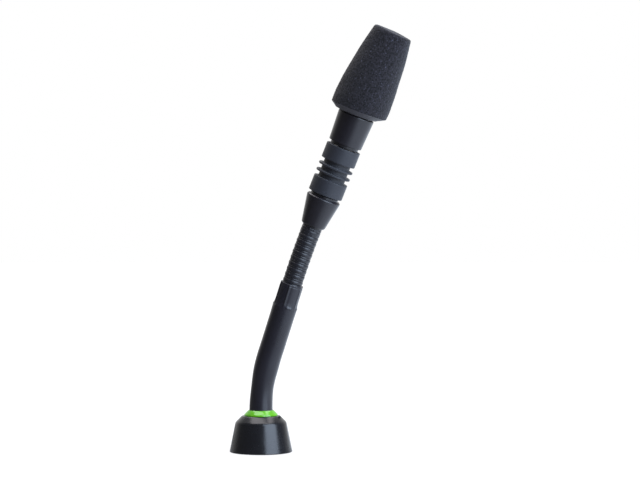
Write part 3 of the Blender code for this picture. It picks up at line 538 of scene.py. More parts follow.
def perforated_tree():
    """Round holes on a hexagonal grid, cut through a plate that lies across Z."""
    tree, given = new_geometry_tree(
        "perforated_plate",
        [
            ("Pitch", "NodeSocketFloat", MM),
            ("Hole radius", "NodeSocketFloat", MM),
            ("Reach", "NodeSocketFloat", MM),
            ("Depth", "NodeSocketFloat", MM),
            ("Height", "NodeSocketFloat", 0.0),
            ("Finish", "NodeSocketMaterial", None),
        ],
    )
    rows = 13
    points = add(tree, "GeometryNodePoints", {"Count": rows * rows})
    index = add(tree, "GeometryNodeInputIndex")
    column = add(tree, "ShaderNodeMath", {0: index.outputs[0], 1: rows}, operation="MODULO")
    quotient = add(tree, "ShaderNodeMath", {0: index.outputs[0], 1: rows}, operation="DIVIDE")
    row = add(tree, "ShaderNodeMath", {0: quotient.outputs[0]}, operation="FLOOR")
    middle = (rows - 1) / 2
    column = add(tree, "ShaderNodeMath", {0: column.outputs[0], 1: middle}, operation="SUBTRACT")
    row = add(tree, "ShaderNodeMath", {0: row.outputs[0], 1: middle}, operation="SUBTRACT")
    lean = add(
        tree,
        "ShaderNodeMath",
        {0: row.outputs[0], 1: 0.5, 2: column.outputs[0]},
        operation="MULTIPLY_ADD",
    )
    across = add(tree, "ShaderNodeMath", {0: lean.outputs[0], 1: given["Pitch"]}, operation="MULTIPLY")
    row_step = math.sin(math.tau / 6)
    rise = add(tree, "ShaderNodeMath", {0: row.outputs[0], 1: row_step}, operation="MULTIPLY")
    along = add(tree, "ShaderNodeMath", {0: rise.outputs[0], 1: given["Pitch"]}, operation="MULTIPLY")
    place = add(
        tree,
        "ShaderNodeCombineXYZ",
        {0: across.outputs[0], 1: along.outputs[0], 2: given["Height"]},
    )
    flat = add(tree, "ShaderNodeCombineXYZ", {0: across.outputs[0], 1: along.outputs[0]})
    length = add(tree, "ShaderNodeVectorMath", {0: flat.outputs[0]}, operation="LENGTH")
    inside = add(
        tree,
        "ShaderNodeMath",
        {0: length.outputs["Value"], 1: given["Reach"]},
        operation="LESS_THAN",
    )
    put = add(
        tree,
        "GeometryNodeSetPosition",
        {"Geometry": points.outputs[0], "Position": place.outputs[0]},
    )
    drill = add(
        tree,
        "GeometryNodeMeshCylinder",
        {"Vertices": 10, "Radius": given["Hole radius"], "Depth": given["Depth"]},
    )
    drills = add(
        tree,
        "GeometryNodeInstanceOnPoints",
        {
            "Points": put.outputs[0],
            "Selection": inside.outputs[0],
            "Instance": drill.outputs["Mesh"],
        },
    )
    cut = add(
        tree,
        "GeometryNodeMeshBoolean",
        {0: given["Geometry"], 1: drills.outputs[0]},
        operation="DIFFERENCE",
    )
    end_geometry_tree(tree, cut.outputs["Mesh"], given["Finish"])
    return tree


def grown(base, tree, values):
    """The mesh that a geometry tree makes on an object, which is then removed."""
    modifier = base.modifiers.new(tree.name, "NODES")
    modifier.node_group = tree
    for item in tree.interface.items_tree:
        if item.in_out == "INPUT" and item.name in values:
            modifier[item.identifier] = values[item.name]
    return baked(base)


def ring_of(mesh, count, radius, height, phase, finish):
    """A mesh copied evenly round Z, each copy turned to face out."""
    copy = helper("copy", mesh)
    base = helper("ring", bpy.data.meshes.new("ring"))
    tree = bpy.data.node_groups.get("ring_of_copies") or ring_of_copies_tree()
    made = grown(
        base,
        tree,
        {
            "Copy": copy,
            "Count": count,
            "Radius": radius,
            "Height": height,
            "Phase": phase,
            "Finish": finish,
        },
    )
    dismiss(copy)
    return made


# ---------------------------------------------------------------- materials


def begin_material(name):
    """(material, tree, object coordinates, principled shader) of a new material."""
    made = bpy.data.materials.new(name)
    made.use_nodes = True
    tree = made.node_tree
    shader = tree.nodes["Principled BSDF"]
    coordinates = add(tree, "ShaderNodeTexCoord").outputs["Object"]
    return made, tree, coordinates, shader


def scaled(colours, share):
    """A colour lightened or darkened by a share, with its alpha."""
    return (*[min(1, c * share) for c in colours], 1)


def moulded(name, colours, roughness, grain, depth, specular=0.5):
    """Injection-moulded ABS: an even black with a fine spark-eroded grain that breaks up the
    highlight, slightly cloudy in gloss where the tool has polished."""
    made, tree, place, shader = begin_material(name)
    cloud = add(tree, "ShaderNodeTexNoise", {"Vector": place, "Scale": 160, "Detail": 3})
    fine = add(tree, "ShaderNodeTexNoise", {"Vector": place, "Scale": 1 / grain, "Detail": 4})
    tint = add(
        tree,
        "ShaderNodeMix",
        {0: cloud.outputs["Fac"], 6: scaled(colours, 0.86), 7: scaled(colours, 1.16)},
        data_type="RGBA",
    ).outputs[2]
    gloss = add(
        tree,
        "ShaderNodeMapRange",
        {
            "Value": cloud.outputs["Fac"],
            "From Min": 0.3,
            "From Max": 0.7,
            "To Min": roughness - 0.03,
            "To Max": roughness + 0.04,
        },
    )
    bump = add(
        tree,
        "ShaderNodeBump",
        {"Height": fine.outputs["Fac"], "Strength": 0.35, "Distance": depth},
    )
    fill(
        tree,
        shader,
        {
            "Base Color": tint,
            "Roughness": gloss.outputs[0],
            "Normal": bump.outputs[0],
            "IOR": 1.5,
            "Specular IOR Level": specular,
        },
    )
    return made


def foot_plastic():
    """Moulded ABS, satin: 0.12 mm grain, wide soft highlight."""
    return moulded("moulded_abs_foot", settings().colours.foot, 0.25, 0.12 * MM, 0.003 * MM)


def housing_plastic():
    """Moulded ABS, a little duller than the foot."""
    return moulded("moulded_abs_housing", settings().colours.housing, 0.3, 0.12 * MM, 0.004 * MM)


def sleeve_polyolefin():
    """Heat-shrunk polyolefin: satin, with a fine grain."""
    return moulded("shrunk_polyolefin", settings().colours.sleeve, 0.3, 0.2 * MM, 0.004 * MM)


def coated_winding():
    """Steel wire, wound and dip-coated black: satin with a little orange peel."""
    return moulded("coated_steel_winding", settings().colours.winding, 0.34, 0.35 * MM, 0.004 * MM)


def cable_jacket():
    """Extruded PVC lead, smooth and matt."""
    return moulded("extruded_pvc_jacket", linear("#1d1d1f"), 0.55, 0.3 * MM, 0.004 * MM)


def black_brass():
    """Brass, turned and plated black: cartridge shell and grille."""
    return moulded("black_plated_brass", linear("#1b1b1e"), 0.32, 0.15 * MM, 0.003 * MM)


def isolator_rubber():
    """Compression-moulded thermoplastic rubber: matt and greyer than the plastic, with a faint
    bloom towards its edges from its sheen, and a coarse blasted grain."""
    colours = settings().colours.rubber
    made, tree, place, shader = begin_material("moulded_tpe_rubber")
    cloud = add(tree, "ShaderNodeTexNoise", {"Vector": place, "Scale": 260, "Detail": 4})
    fine = add(tree, "ShaderNodeTexNoise", {"Vector": place, "Scale": 1 / (0.22 * MM), "Detail": 5})
    tint = add(
        tree,
        "ShaderNodeMix",
        {0: cloud.outputs["Fac"], 6: scaled(colours, 0.8), 7: scaled(colours, 1.25)},
        data_type="RGBA",
    ).outputs[2]
    bump = add(
        tree,
        "ShaderNodeBump",
        {"Height": fine.outputs["Fac"], "Strength": 0.5, "Distance": 0.012 * MM},
    )
    fill(
        tree,
        shader,
        {
            "Base Color": tint,
            "Normal": bump.outputs[0],
            "Roughness": 0.58,
            "IOR": 1.5,
            "Sheen Weight": 0.08,
            "Sheen Roughness": 0.5,
        },
    )
    return made


def open_cell_foam():
    """Reticulated polyurethane foam: each cell's middle painted dark as the shade in its hollow, the
    walls between lighter, and painted glints where a few walls would catch the light. Cells are 0.75 mm
    wide, and the glints 0.5 mm."""
    sizes = settings().foam
    colours = settings().colours
    made, tree, place, shader = begin_material("open_cell_polyurethane")
    cells = add(
        tree,
        "ShaderNodeTexVoronoi",
        {"Vector": place, "Scale": 1 / sizes.cell, "Randomness": 1.0},
        feature="F1",
    )
    # Painted shade: the middle of each cell is darkened as the shade in its hollow, and the walls
    # between are lightened.
    painted_pit_shade = add(
        tree,
        "ShaderNodeMapRange",
        {"Value": cells.outputs["Distance"], "From Min": 0.25, "From Max": 0.65},
    )
    grain = add(tree, "ShaderNodeTexNoise", {"Vector": place, "Scale": 1 / (0.5 * MM), "Detail": 3})
    # Painted glints: light spots where a few cell walls would catch the light.
    painted_glints = add(
        tree,
        "ShaderNodeMapRange",
        {"Value": grain.outputs["Fac"], "From Min": 0.6, "From Max": 0.74},
    )
    walls = add(
        tree,
        "ShaderNodeMix",
        {0: painted_pit_shade.outputs[0], 6: scaled(colours.foam, 0.25), 7: scaled(colours.foam, 1.75)},
        data_type="RGBA",
    ).outputs[2]
    tint = add(
        tree,
        "ShaderNodeMix",
        {0: painted_glints.outputs[0], 6: walls, 7: (*colours.foam_painted_glint, 1)},
        data_type="RGBA",
    ).outputs[2]
    rough = add(tree, "ShaderNodeTexNoise", {"Vector": place, "Scale": 1 / (0.3 * MM), "Detail": 6})
    bump = add(
        tree,
        "ShaderNodeBump",
        {"Height": rough.outputs["Fac"], "Strength": 0.8, "Distance": 0.08 * MM},
    )
    fill(
        tree,
        shader,
        {
            "Base Color": tint,
            "Normal": bump.outputs[0],
            "Roughness": 0.95,
            "Specular IOR Level": 0.2,
            "Sheen Weight": 0.12,
            "Sheen Roughness": 0.6,
        },
    )
    return made


def painted_light_cut_band():
    """Polyurethane foam sealed by the hot wire that cut it: smoother than the cells, and painted a
    lighter grey as the light that the floor throws up on to the band.
    """
    made, tree, place, shader = begin_material("hot_cut_polyurethane")
    grain = add(tree, "ShaderNodeTexNoise", {"Vector": place, "Scale": 1 / (0.6 * MM), "Detail": 3})
    colours = settings().colours.lower_band_painted_light
    tint = add(
        tree,
        "ShaderNodeMix",
        {0: grain.outputs["Fac"], 6: scaled(colours, 0.7), 7: scaled(colours, 1.3)},
        data_type="RGBA",
    ).outputs[2]
    fill(tree, shader, {"Base Color": tint, "Roughness": 0.6, "Specular IOR Level": 0.35})
    return made


def lit_polycarbonate():
    """Moulded diffusing polycarbonate with lamps behind it: it glows, a little unevenly, and its
    polished face still shows the studio's light."""
    colours = settings().colours.light
    made, tree, place, shader = begin_material("lit_polycarbonate")
    cloud = add(tree, "ShaderNodeTexNoise", {"Vector": place, "Scale": 190, "Detail": 1})
    glow = add(
        tree,
        "ShaderNodeMix",
        {0: cloud.outputs["Fac"], 6: scaled(colours, 0.7), 7: scaled(colours, 1.3)},
        data_type="RGBA",
    ).outputs[2]
    fill(
        tree,
        shader,
        {
            "Emission Color": glow,
            "Base Color": glow,
            "Emission Strength": 0.2,
            "Roughness": 0.16,
            "IOR": 1.58,
        },
    )
    return made


def plated(name, colours, roughness):
    """Turned and plated metal: bright, with fine lathe rings about the neck's axis."""
    made, tree, place, shader = begin_material(name)
    rings = add(tree, "ShaderNodeMapping", {"Vector": place, "Scale": (400, 400, 9000)})
    lines = add(tree, "ShaderNodeTexNoise", {"Vector": rings.outputs[0], "Scale": 1, "Detail": 3})
    tint = add(
        tree,
        "ShaderNodeMix",
        {0: lines.outputs["Fac"], 6: scaled(colours, 0.8), 7: scaled(colours, 1.1)},
        data_type="RGBA",
    ).outputs[2]
    gloss = add(
        tree,
        "ShaderNodeMapRange",
        {"Value": lines.outputs["Fac"], "To Min": roughness - 0.08, "To Max": roughness + 0.1},
    )
    fill(tree, shader, {"Base Color": tint, "Roughness": gloss.outputs[0], "Metallic": 1})
    return made


def nickel():
    """Nickel-plated turned steel: screws, collar, studs."""
    return plated("nickel_plated_steel", linear("#6f6e6c"), 0.35)


def gold():
    """Gold-plated brass contacts."""
    return plated("gold_plated_brass", linear("#d9b45a"), 0.25)


def capsule_metal():
    """Deep-drawn aluminium capsule case."""
    return plated("drawn_aluminium", linear("#bfc0c2"), 0.35)


def circuit_board():
    """Glass-epoxy laminate under green solder mask, with copper tracks showing through."""
    made, tree, place, shader = begin_material("solder_masked_laminate")
    tracks = add(
        tree,
        "ShaderNodeTexBrick",
        {
            "Vector": place,
            "Scale": 260,
            "Color1": (*linear("#14472a"), 1),
            "Color2": (*linear("#185232"), 1),
            "Mortar": (*linear("#2e7a4a"), 1),
            "Mortar Size": 0.05,
        },
    )
    fill(tree, shader, {"Base Color": tracks.outputs["Color"], "Roughness": 0.4})
    return made


def lamp_lens():
    """Clear epoxy lamp lens, lit, with a faint cloud of phosphor."""
    made, tree, place, shader = begin_material("lit_epoxy_lens")
    cloud = add(tree, "ShaderNodeTexNoise", {"Vector": place, "Scale": 1500})
    glow = add(
        tree,
        "ShaderNodeMix",
        {0: cloud.outputs["Fac"], 6: (*linear("#a8ff70"), 1), 7: (*linear("#d8ffc0"), 1)},
        data_type="RGBA",
    ).outputs[2]
    fill(tree, shader, {"Emission Color": glow, "Base Color": glow, "Emission Strength": 2})
    return made


def woven_cloth():
    """Fine polyester acoustic cloth, plain weave. Threads are drawn 0.25 mm apart, coarser than
    real, so that they show."""
    made, tree, place, shader = begin_material("woven_acoustic_cloth")
    thread_spacing = 0.25 * MM
    threads = {"Vector": place, "Scale": 1 / thread_spacing / 6, "Distortion": 0.4}
    warp = add(tree, "ShaderNodeTexWave", threads)
    weft = add(tree, "ShaderNodeTexWave", threads, bands_direction="Y")
    crossed = {0: warp.outputs["Fac"], 1: weft.outputs["Fac"]}
    weave = add(tree, "ShaderNodeMath", crossed, operation="MULTIPLY")
    tint = add(
        tree,
        "ShaderNodeMix",
        {0: weave.outputs[0], 6: (*linear("#101012"), 1), 7: (*linear("#38383c"), 1)},
        data_type="RGBA",
    ).outputs[2]
    fill(tree, shader, {"Base Color": tint, "Roughness": 0.9})
    return made


def studio_paper():
    """Matt paper, dark grey in its own colour, with a barely visible tooth. It glows: white to the
    camera all the way to its edge, and, as painted light on the microphone, a cool glow that is stronger
    to the right and behind than in front, where it is painted dimmer."""
    made, tree, place, shader = begin_material("background_paper")
    tooth = add(tree, "ShaderNodeTexNoise", {"Vector": place, "Scale": 900, "Detail": 2})
    white = settings().colours.floor
    tint = add(
        tree,
        "ShaderNodeMix",
        {0: tooth.outputs["Fac"], 6: scaled(white, 0.985), 7: scaled(white, 1)},
        data_type="RGBA",
    ).outputs[2]
    shade = add(
        tree,
        "ShaderNodeMix",
        {0: tooth.outputs["Fac"], 6: scaled(white, 0.18), 7: scaled(white, 0.2)},
        data_type="RGBA",
    ).outputs[2]
    turn = settings().stage.camera_turn
    # Painted light: the floor's glow on the microphone is brighter to the right and away from the
    # camera, dimmer in front.
    lit = (math.cos(turn) - 0.3 * math.sin(turn), math.sin(turn) + 0.3 * math.cos(turn), 0)
    behind = add(tree, "ShaderNodeVectorMath", {0: place, 1: lit}, operation="DOT_PRODUCT")
    below = add(
        tree,
        "ShaderNodeMapRange",
        {"Value": behind.outputs["Value"], "From Min": -0.04, "From Max": 0.09, "To Max": 1.35},
    )
    away = add(tree, "ShaderNodeVectorMath", {0: place}, operation="LENGTH")
    seen = add(
        tree,
        "ShaderNodeMapRange",
        {"Value": away.outputs["Value"], "From Max": 1.0, "To Min": 0.87, "To Max": 1.1},
    )
    sight = add(tree, "ShaderNodeLightPath").outputs["Is Camera Ray"]
    glow = add(
        tree, "ShaderNodeMix", {0: sight, 2: below.outputs[0], 3: seen.outputs[0]}, data_type="FLOAT"
    )
    cool = add(
        tree, "ShaderNodeMix", {0: sight, 6: (0.76, 0.86, 1.0, 1), 7: tint}, data_type="RGBA"
    ).outputs[2]
    fill(
        tree,
        shader,
        {
            "Base Color": shade,
            "Emission Color": cool,
            "Emission Strength": glow.outputs[0],
            "Roughness": 0.9,
            "Specular IOR Level": 0.1,
        },
    )
    return made


def finish(make):
    """A material by the function that makes it, made once."""
    key = make.__name__
    found = [m for m in bpy.data.materials if m.get("made_by") == key]
    if found:
        return found[0]
    made = make()
    made["made_by"] = key
    return made


def settings():
    return bpy.context.scene.gooseneck_mic


# ---------------------------------------------------------------- foot


class MIC_OT_foot(bpy.types.Operator):
    """Moulded bell of the foot, rounded at the shoulder, open below for the base plate"""

    bl_idname = "mic.foot"
    bl_label = "Foot bell"

    def execute(self, context):
        sizes = settings().foot
        low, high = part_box("base_bell")
        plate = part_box("base_plate")[1]
        clearance = 0.3 * MM
        recess = plate.x + clearance
        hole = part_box("light_ring")[1].x - 0.6 * MM
        chamber = sizes.skirt_radius - sizes.wall
        roof = high.z - 3.1 * MM
        corners = [
            (hole, high.z, 0.15 * MM),
            (sizes.ledge_radius, high.z, 0.4 * MM),
            (sizes.skirt_radius, sizes.skirt_height, sizes.shoulder_round),
            (high.x, sizes.edge_round, sizes.edge_round),
            (high.x - sizes.edge_round, low.z, 0.05 * MM),
            (recess, low.z, 0),
            (recess, plate.z + clearance, 0),
            (chamber, plate.z + clearance, 0.3 * MM),
            (chamber, roof, 0.3 * MM),
            (hole, roof, 0),
        ]
        mesh = turned(rounded(corners))
        well_radius, well_top, well_floor = 0.65 * MM, 6 * MM, -0.5 * MM
        outline = [(0, well_top), (well_radius, well_top), (well_radius, well_floor), (0, well_floor)]
        well = turned(outline, 32)
        well.transform(lock_screw_place())
        mesh = without(mesh, [well])
        piece("foot_bell", mesh, foot_plastic, ["base_bell"], "base")
        return {"FINISHED"}


def lock_screw_place():
    """Where the screw stands in the shoulder, with +Z out of it."""
    sizes = settings().foot
    foot_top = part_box("base_bell")[1].z
    slope = math.atan2(foot_top - sizes.skirt_height, sizes.skirt_radius - sizes.ledge_radius)
    down_slope = 0.4 * MM
    place = Vector((sizes.ledge_radius + down_slope, 0, foot_top - down_slope))
    return Matrix.Translation(place) @ Matrix.Rotation(slope, 4, "Y")


class MIC_OT_lock_screw(bpy.types.Operator):
    """Socket-headed lock screw in the foot's shoulder"""

    bl_idname = "mic.lock_screw"
    bl_label = "Lock screw"

    def execute(self, context):
        head, shank, proud, sunk, length = (v * MM for v in (0.55, 0.4, 0.45, 0.2, 1.9))
        corners = [
            (0, proud, 0),
            (head, proud, 0.18 * MM),
            (head, -sunk, 0),
            (shank, -sunk, 0),
            (shank, -length, 0.15 * MM),
            (0, -length, 0),
        ]
        socket = bmesh.new()
        bmesh.ops.create_cone(
            socket,
            cap_ends=True,
            segments=6,
            radius1=settings().foot.recess_socket / math.sqrt(3),
            radius2=settings().foot.recess_socket / math.sqrt(3),
            depth=1.2 * MM,
        )
        bmesh.ops.translate(socket, verts=socket.verts, vec=(0, 0, proud + 0.2 * MM))
        mesh = without(turned(rounded(corners), 32), [closed_mesh(socket)])
        place = lock_screw_place()
        piece("lock_screw_head", mesh, black_brass, ["lock_screw"], "base", place)
        return {"FINISHED"}


class MIC_OT_underside(bpy.types.Operator):
    """Base plate with its moulded rings, its countersunk screws and its domed contacts"""

    bl_idname = "mic.underside"
    bl_label = "Underside"

    def execute(self, context):
        self.make_plate()
        self.make_screws()
        self.make_contacts()
        return {"FINISHED"}

    @staticmethod
    def circle(stem):
        """(count, radius from the axis, angle of the first) of like nodes round the axis."""
        names = sorted(n for n in NODES if n.startswith(stem))
        low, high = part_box(names[0])
        middle = (low + high) / 2
        return len(names), math.hypot(middle.x, middle.y), math.atan2(middle.y, middle.x), low, high

    def make_plate(self):
        low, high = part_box("base_plate")
        groove = 0.35 * MM
        corners = [(0, high.z, 0), (high.x, high.z, 0.1 * MM), (high.x, low.z, 0.25 * MM)]
        for radius in (9.4 * MM, 2.6 * MM):
            corners += [(radius + groove, low.z, 0.05 * MM), (radius + groove, low.z + groove, 0)]
            corners += [(radius, low.z + groove, 0), (radius, low.z, 0.05 * MM)]
        corners.append((0, low.z, 0))
        cutters = []
        for stem, opening, cone in (("plate_screw_", 1.5, True), ("contact_", 1.1, False)):
            count, radius, phase, _, _ = self.circle(stem)
            for i in range(count):
                angle = phase + math.tau * i / count
                wide = opening * MM
                narrow = 0.9 * MM if cone else wide
                outline = [(0, 1.5 * high.z), (narrow, 1.5 * high.z), (narrow, 1.3 * MM)]
                outline += [(wide, 0.2 * MM), (wide, -MM), (0, -MM)]
                cutter = turned(outline, 24)
                place = Vector((radius * math.cos(angle), radius * math.sin(angle), 0))
                cutter.transform(Matrix.Translation(place))
                cutters.append(cutter)
        mesh = without(turned(rounded(corners), 96), cutters)
        piece("foot_plate", mesh, housing_plastic, ["base_plate"], "base")

    def make_screws(self):
        count, radius, phase, low, high = self.circle("plate_screw_")
        head = 1.15 * MM
        shank = 0.6 * MM
        corners = [
            (0, high.z, 0),
            (shank, high.z, 0.1 * MM),
            (shank, low.z + 0.9 * MM, 0),
            (head, low.z + 0.12 * MM, 0.08 * MM),
            (head * 0.8, low.z, 0.1 * MM),
            (0, low.z, 0),
        ]
        slots = []
        for turn in (0, math.pi / 2):
            bm = bmesh.new()
            bmesh.ops.create_cube(bm, size=1)
            bmesh.ops.scale(bm, vec=(1.5 * MM, 0.28 * MM, 0.9 * MM), verts=bm.verts)
            slot = closed_mesh(bm)
            slot.transform(Matrix.Translation((0, 0, low.z)) @ Matrix.Rotation(turn, 4, "Z"))
            slots.append(slot)
        screw = without(turned(rounded(corners), 24), slots)
        mesh = ring_of(screw, count, radius, 0, phase, finish(nickel))
        names = [f"plate_screw_{i + 1}" for i in range(count)]
        piece("foot_screws", mesh, nickel, names, "base")

    def make_contacts(self):
        count, radius, phase, low, high = self.circle("contact_")
        wide = (high.x - low.x) / 2
        rise = wide * 0.4
        angles = np.linspace(0, math.pi / 2, 8)
        dome = [(wide * math.cos(a), low.z + rise * (1 - math.sin(a))) for a in angles]
        outline = [(0, high.z), (wide, high.z), *dome[:-1], (0, low.z)]
        mesh = ring_of(turned(outline, 24), count, radius, 0, phase, finish(gold))
        names = [f"contact_{i + 1}" for i in range(count)]
        piece("foot_contacts", mesh, gold, names, "base")


class MIC_OT_light_ring(bpy.types.Operator):
    """Diffusing ring round the root of the neck, lit green"""

    bl_idname = "mic.light_ring"
    bl_label = "Light ring"

    def execute(self, context):
        low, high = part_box("light_ring")
        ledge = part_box("base_bell")[1].z + 0.12 * MM
        bore = settings().neck.sleeve_root_radius + 0.12 * MM
        skirt = bore + 1.1 * MM
        corners = [
            (bore + 0.15 * MM, high.z + 0.35 * MM, 0.12 * MM),
            (bore + 0.5 * MM, high.z + 0.1 * MM, 0.3 * MM),
            (high.x - 0.15 * MM, ledge + 0.5 * MM, 0.35 * MM),
            (high.x - 0.05 * MM, ledge, 0.1 * MM),
            (skirt, ledge, 0),
            (skirt, low.z, 0.1 * MM),
            (bore, low.z, 0),
            (bore, high.z + 0.3 * MM, 0.05 * MM),
        ]
        mesh = turned(rounded(corners))
        piece("lit_ring", mesh, lit_polycarbonate, ["light_ring"], "base")
        return {"FINISHED"}


# ---------------------------------------------------------------- neck


def neck_bodies():
    return [NECK_CHAIN[0]["parent"], *[joint["child"] for joint in NECK_CHAIN]]


def neck_sections(start, end):
    """(body below, body above, joint's place, low, high) for each joint between two lengths. A
    section runs from the middle of one link to the middle of the next."""
    inside = [i for i, at in enumerate(JOINT_AT) if start < at < end]
    middles = [(JOINT_AT[i] + JOINT_AT[i + 1]) / 2 for i in inside[:-1]]
    bodies = neck_bodies()
    return [
        (bodies[i], bodies[i + 1], JOINT_AT[i], low, high)
        for i, low, high in zip(inside, [start, *middles], [*middles, end])
    ]


def bend_at_joint(obj):
    """Bakes a piece's place into its mesh. It is not bent, and rides on no body."""
    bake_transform(obj)


def sleeve_top():
    return JOINT_AT[5] - settings().neck.bare_below_joint


CRIMP_PHASE = math.radians(-75)


def eased(at, places, values):
    """A value between stations, with a flat tangent at each."""
    for low, high, first, last in zip(places, places[1:], values, values[1:]):
        if at < high:
            share = min(max((at - low) / (high - low), 0), 1)
            return first + (last - first) * share * share * (3 - 2 * share)
    return values[-1]


def sleeve_radius(at, angle):
    """The sleeve's outer radius: tapered, drawn in on six flats near its top, with a rolled lip."""
    sizes = settings().neck
    start = LINE.where((0, 0, RING_TOP))
    top = sleeve_top()
    waist_at, straight_at, step_at = start + 9 * MM, start + 19 * MM, top - 14 * MM
    places = (start, waist_at, straight_at, step_at, top - sizes.crimp_length)
    body = sizes.sleeve_body_radius
    radii = (sizes.sleeve_root_radius, sizes.sleeve_waist_radius, body, body, sizes.sleeve_crimp_radius)
    radius = eased(at, places, radii)
    below = top - at
    turn = (angle - CRIMP_PHASE) % (math.pi / 3) - math.pi / 6
    if below < sizes.crimp_length:
        run_out = 3.5 * MM
        fade = min(1, (sizes.crimp_length - below) / run_out)
        flat = math.cos(math.pi / 6) / math.cos(turn)
        drawn = radius * max(flat, 1 - sizes.crimp_depth / radius)
        radius += (drawn - radius) * fade * fade * (3 - 2 * fade)
    up = (below - sizes.crimp_length + 1.0 * MM) / (0.45 * MM)
    round_ = (abs(turn) - math.radians(8)) / math.radians(9)
    radius += 0.16 * MM * math.exp(-up * up - round_ * round_)
    lip = (below - 0.7 * MM) / (0.25 * MM)
    radius -= 0.09 * MM * math.exp(-lip * lip)
    edge = max(0, 1 - below / (0.25 * MM))
    return radius - 0.15 * MM * edge * edge


class MIC_OT_sleeve(bpy.types.Operator):
    """Shrunk sleeve over the lower neck, in one length for each joint under it"""

    bl_idname = "mic.sleeve"
    bl_label = "Neck sleeve"

    def execute(self, context):
        start = LINE.where((0, 0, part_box("neck_sleeve")[0].z))
        for number, section in enumerate(neck_sections(start, sleeve_top()), 1):
            mesh = self.length_of(*section[3:])
            name = f"sleeve_{number}"
            obj = piece(name, mesh, sleeve_polyolefin, ["neck_sleeve"])
            bend_at_joint(obj)
        return {"FINISHED"}

    @staticmethod
    def length_of(low, high):
        steps = 96
        bore = settings().neck.sleeve_bore
        fine = 0.12 * MM if high > sleeve_top() - MM else 0.5 * MM
        count = max(8, round((high - low) / fine))
        heights = [low + (high - low) * i / count for i in range(count + 1)]
        bm = bmesh.new()
        rings = []
        for reach in (sleeve_radius, lambda at, angle: bore):
            for at in heights:
                placed = LINE.matrix(at)
                ring = []
                for k in range(steps):
                    angle = math.tau * k / steps
                    radius = reach(at, angle)
                    flat = Vector((radius * math.cos(angle), radius * math.sin(angle), 0))
                    ring.append(bm.verts.new(placed @ flat))
                rings.append(ring)
            heights = heights[::-1]
        for one, two in zip(rings, rings[1:] + rings[:1]):
            for k in range(steps):
                after = (k + 1) % steps
                bm.faces.new((one[k], one[after], two[after], two[k]))
        return closed_mesh(bm)


class MIC_OT_winding(bpy.types.Operator):
    """Wound and coated wire of the gooseneck: a core with turns along it, in one length a joint"""

    bl_idname = "mic.winding"
    bl_label = "Neck winding"

    def execute(self, context):
        sizes = settings().neck
        start = LINE.where((0, 0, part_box("neck_sleeve")[0].z))
        end = NECK_END + 1.5 * MM
        nodes = [name for name in NODES if name.startswith("neck_link_") or name == "middle_ferrule"]
        tree = turns_along_line_tree()
        for number, section in enumerate(neck_sections(start, end), 1):
            low, high = section[3:]
            covered = high < sleeve_top()
            outer = sizes.sleeve_bore - 0.25 * MM if covered else sizes.rib_radius
            core = self.core(low, high, outer - sizes.rib_depth)
            turns = self.turns(tree, low, high, outer)
            mesh = joined(core, turns)
            kept = [n for n in nodes if n in (section[0], section[1])]
            obj = piece(f"winding_{number}", mesh, coated_winding, kept)
            bend_at_joint(obj)
        return {"FINISHED"}

    @staticmethod
    def core(low, high, radius):
        count = max(6, round((high - low) / (0.5 * MM)))
        heights = [low + (high - low) * i / count for i in range(count + 1)]
        bore = settings().neck.winding_bore
        outline = [(radius, h) for h in reversed(heights)] + [(bore, h) for h in heights]
        return lay_on_line(turned(outline, PLAIN_STEPS))

    @staticmethod
    def turns(tree, low, high, outer):
        """Turns of wire on a grid along the whole neck, so that they run on between sections."""
        pitch = settings().neck.rib_pitch
        first = math.ceil((low - NECK_END) / pitch)
        last = math.ceil((high - NECK_END) / pitch) - 1
        curve = bpy.data.curves.new("turn_line", "CURVE")
        curve.dimensions = "3D"
        spline = curve.splines.new("POLY")
        spline.points.add(last - first)
        for point, number in zip(spline.points, range(first, last + 1)):
            point.co = (*LINE.place(NECK_END + number * pitch), 1)
        base = helper("turn_line", curve)
        turn = helper("turn", wire_turn(outer))
        values = {"Turn": turn, "Count": last - first + 1, "Finish": finish(coated_winding)}
        mesh = grown(base, tree, values)
        dismiss(turn)
        return mesh


def wire_turn(outer):
    """One turn: the round wire with the narrow wedge wire beside it."""
    sizes = settings().neck
    root = outer - sizes.rib_depth - 0.3 * MM
    low = -sizes.wire_width / 2
    wedge = sizes.rib_pitch - sizes.wire_width
    face = [(root, low)]
    for start, width, crest in (
        (low, sizes.wire_width, outer),
        (low + sizes.wire_width, wedge, outer - sizes.wedge_drop),
    ):
        foot = outer - sizes.rib_depth
        for share in np.linspace(-0.96, 0.96, 13):
            height = start + width * (share + 1) / 2
            face.append((foot + (crest - foot) * math.sqrt(1 - share * share), height))
    face.append((root, low + sizes.rib_pitch))
    return turned(face[::-1], 96)


def joined(*meshes):
    """Several meshes as one."""
    bm = bmesh.new()
    for mesh in meshes:
        bm.from_mesh(mesh)
    made = bpy.data.meshes.new("joined")
    bm.to_mesh(made)
    bm.free()
    return made


class MIC_OT_cable(bpy.types.Operator):
    """Signal cable on the neck's centre line, in one length for each joint that it crosses"""

    bl_idname = "mic.cable"
    bl_label = "Signal cable"

    def execute(self, context):
        middle = LINE.where(JOINTS["isolator_lean"]["pos_m"])
        end = middle + span("signal_cable")[1]
        for number, section in enumerate(neck_sections(0, NECK_END), 1):
            obj = self.length_of(f"cable_{number}", *section[3:])
            bend_at_joint(obj)
        slack = 0.12 * MM
        below = self.length_of("cable_below_isolator", NECK_END, middle - slack)
        above = self.length_of("cable_above_isolator", middle + slack, end)
        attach(below, "head_base")
        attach(above, "preamp")
        return {"FINISHED"}

    @staticmethod
    def length_of(name, low, high):
        count = max(4, round((high - low) / MM))
        heights = [low + (high - low) * i / count for i in range(count + 1)]
        radius = settings().neck.cable_radius
        outline = [(0, high), *[(radius, h) for h in reversed(heights)], (0, low)]
        mesh = lay_on_line(turned(outline, 20))
        return piece(name, mesh, cable_jacket, ["signal_cable"])


# ---------------------------------------------------------------- head


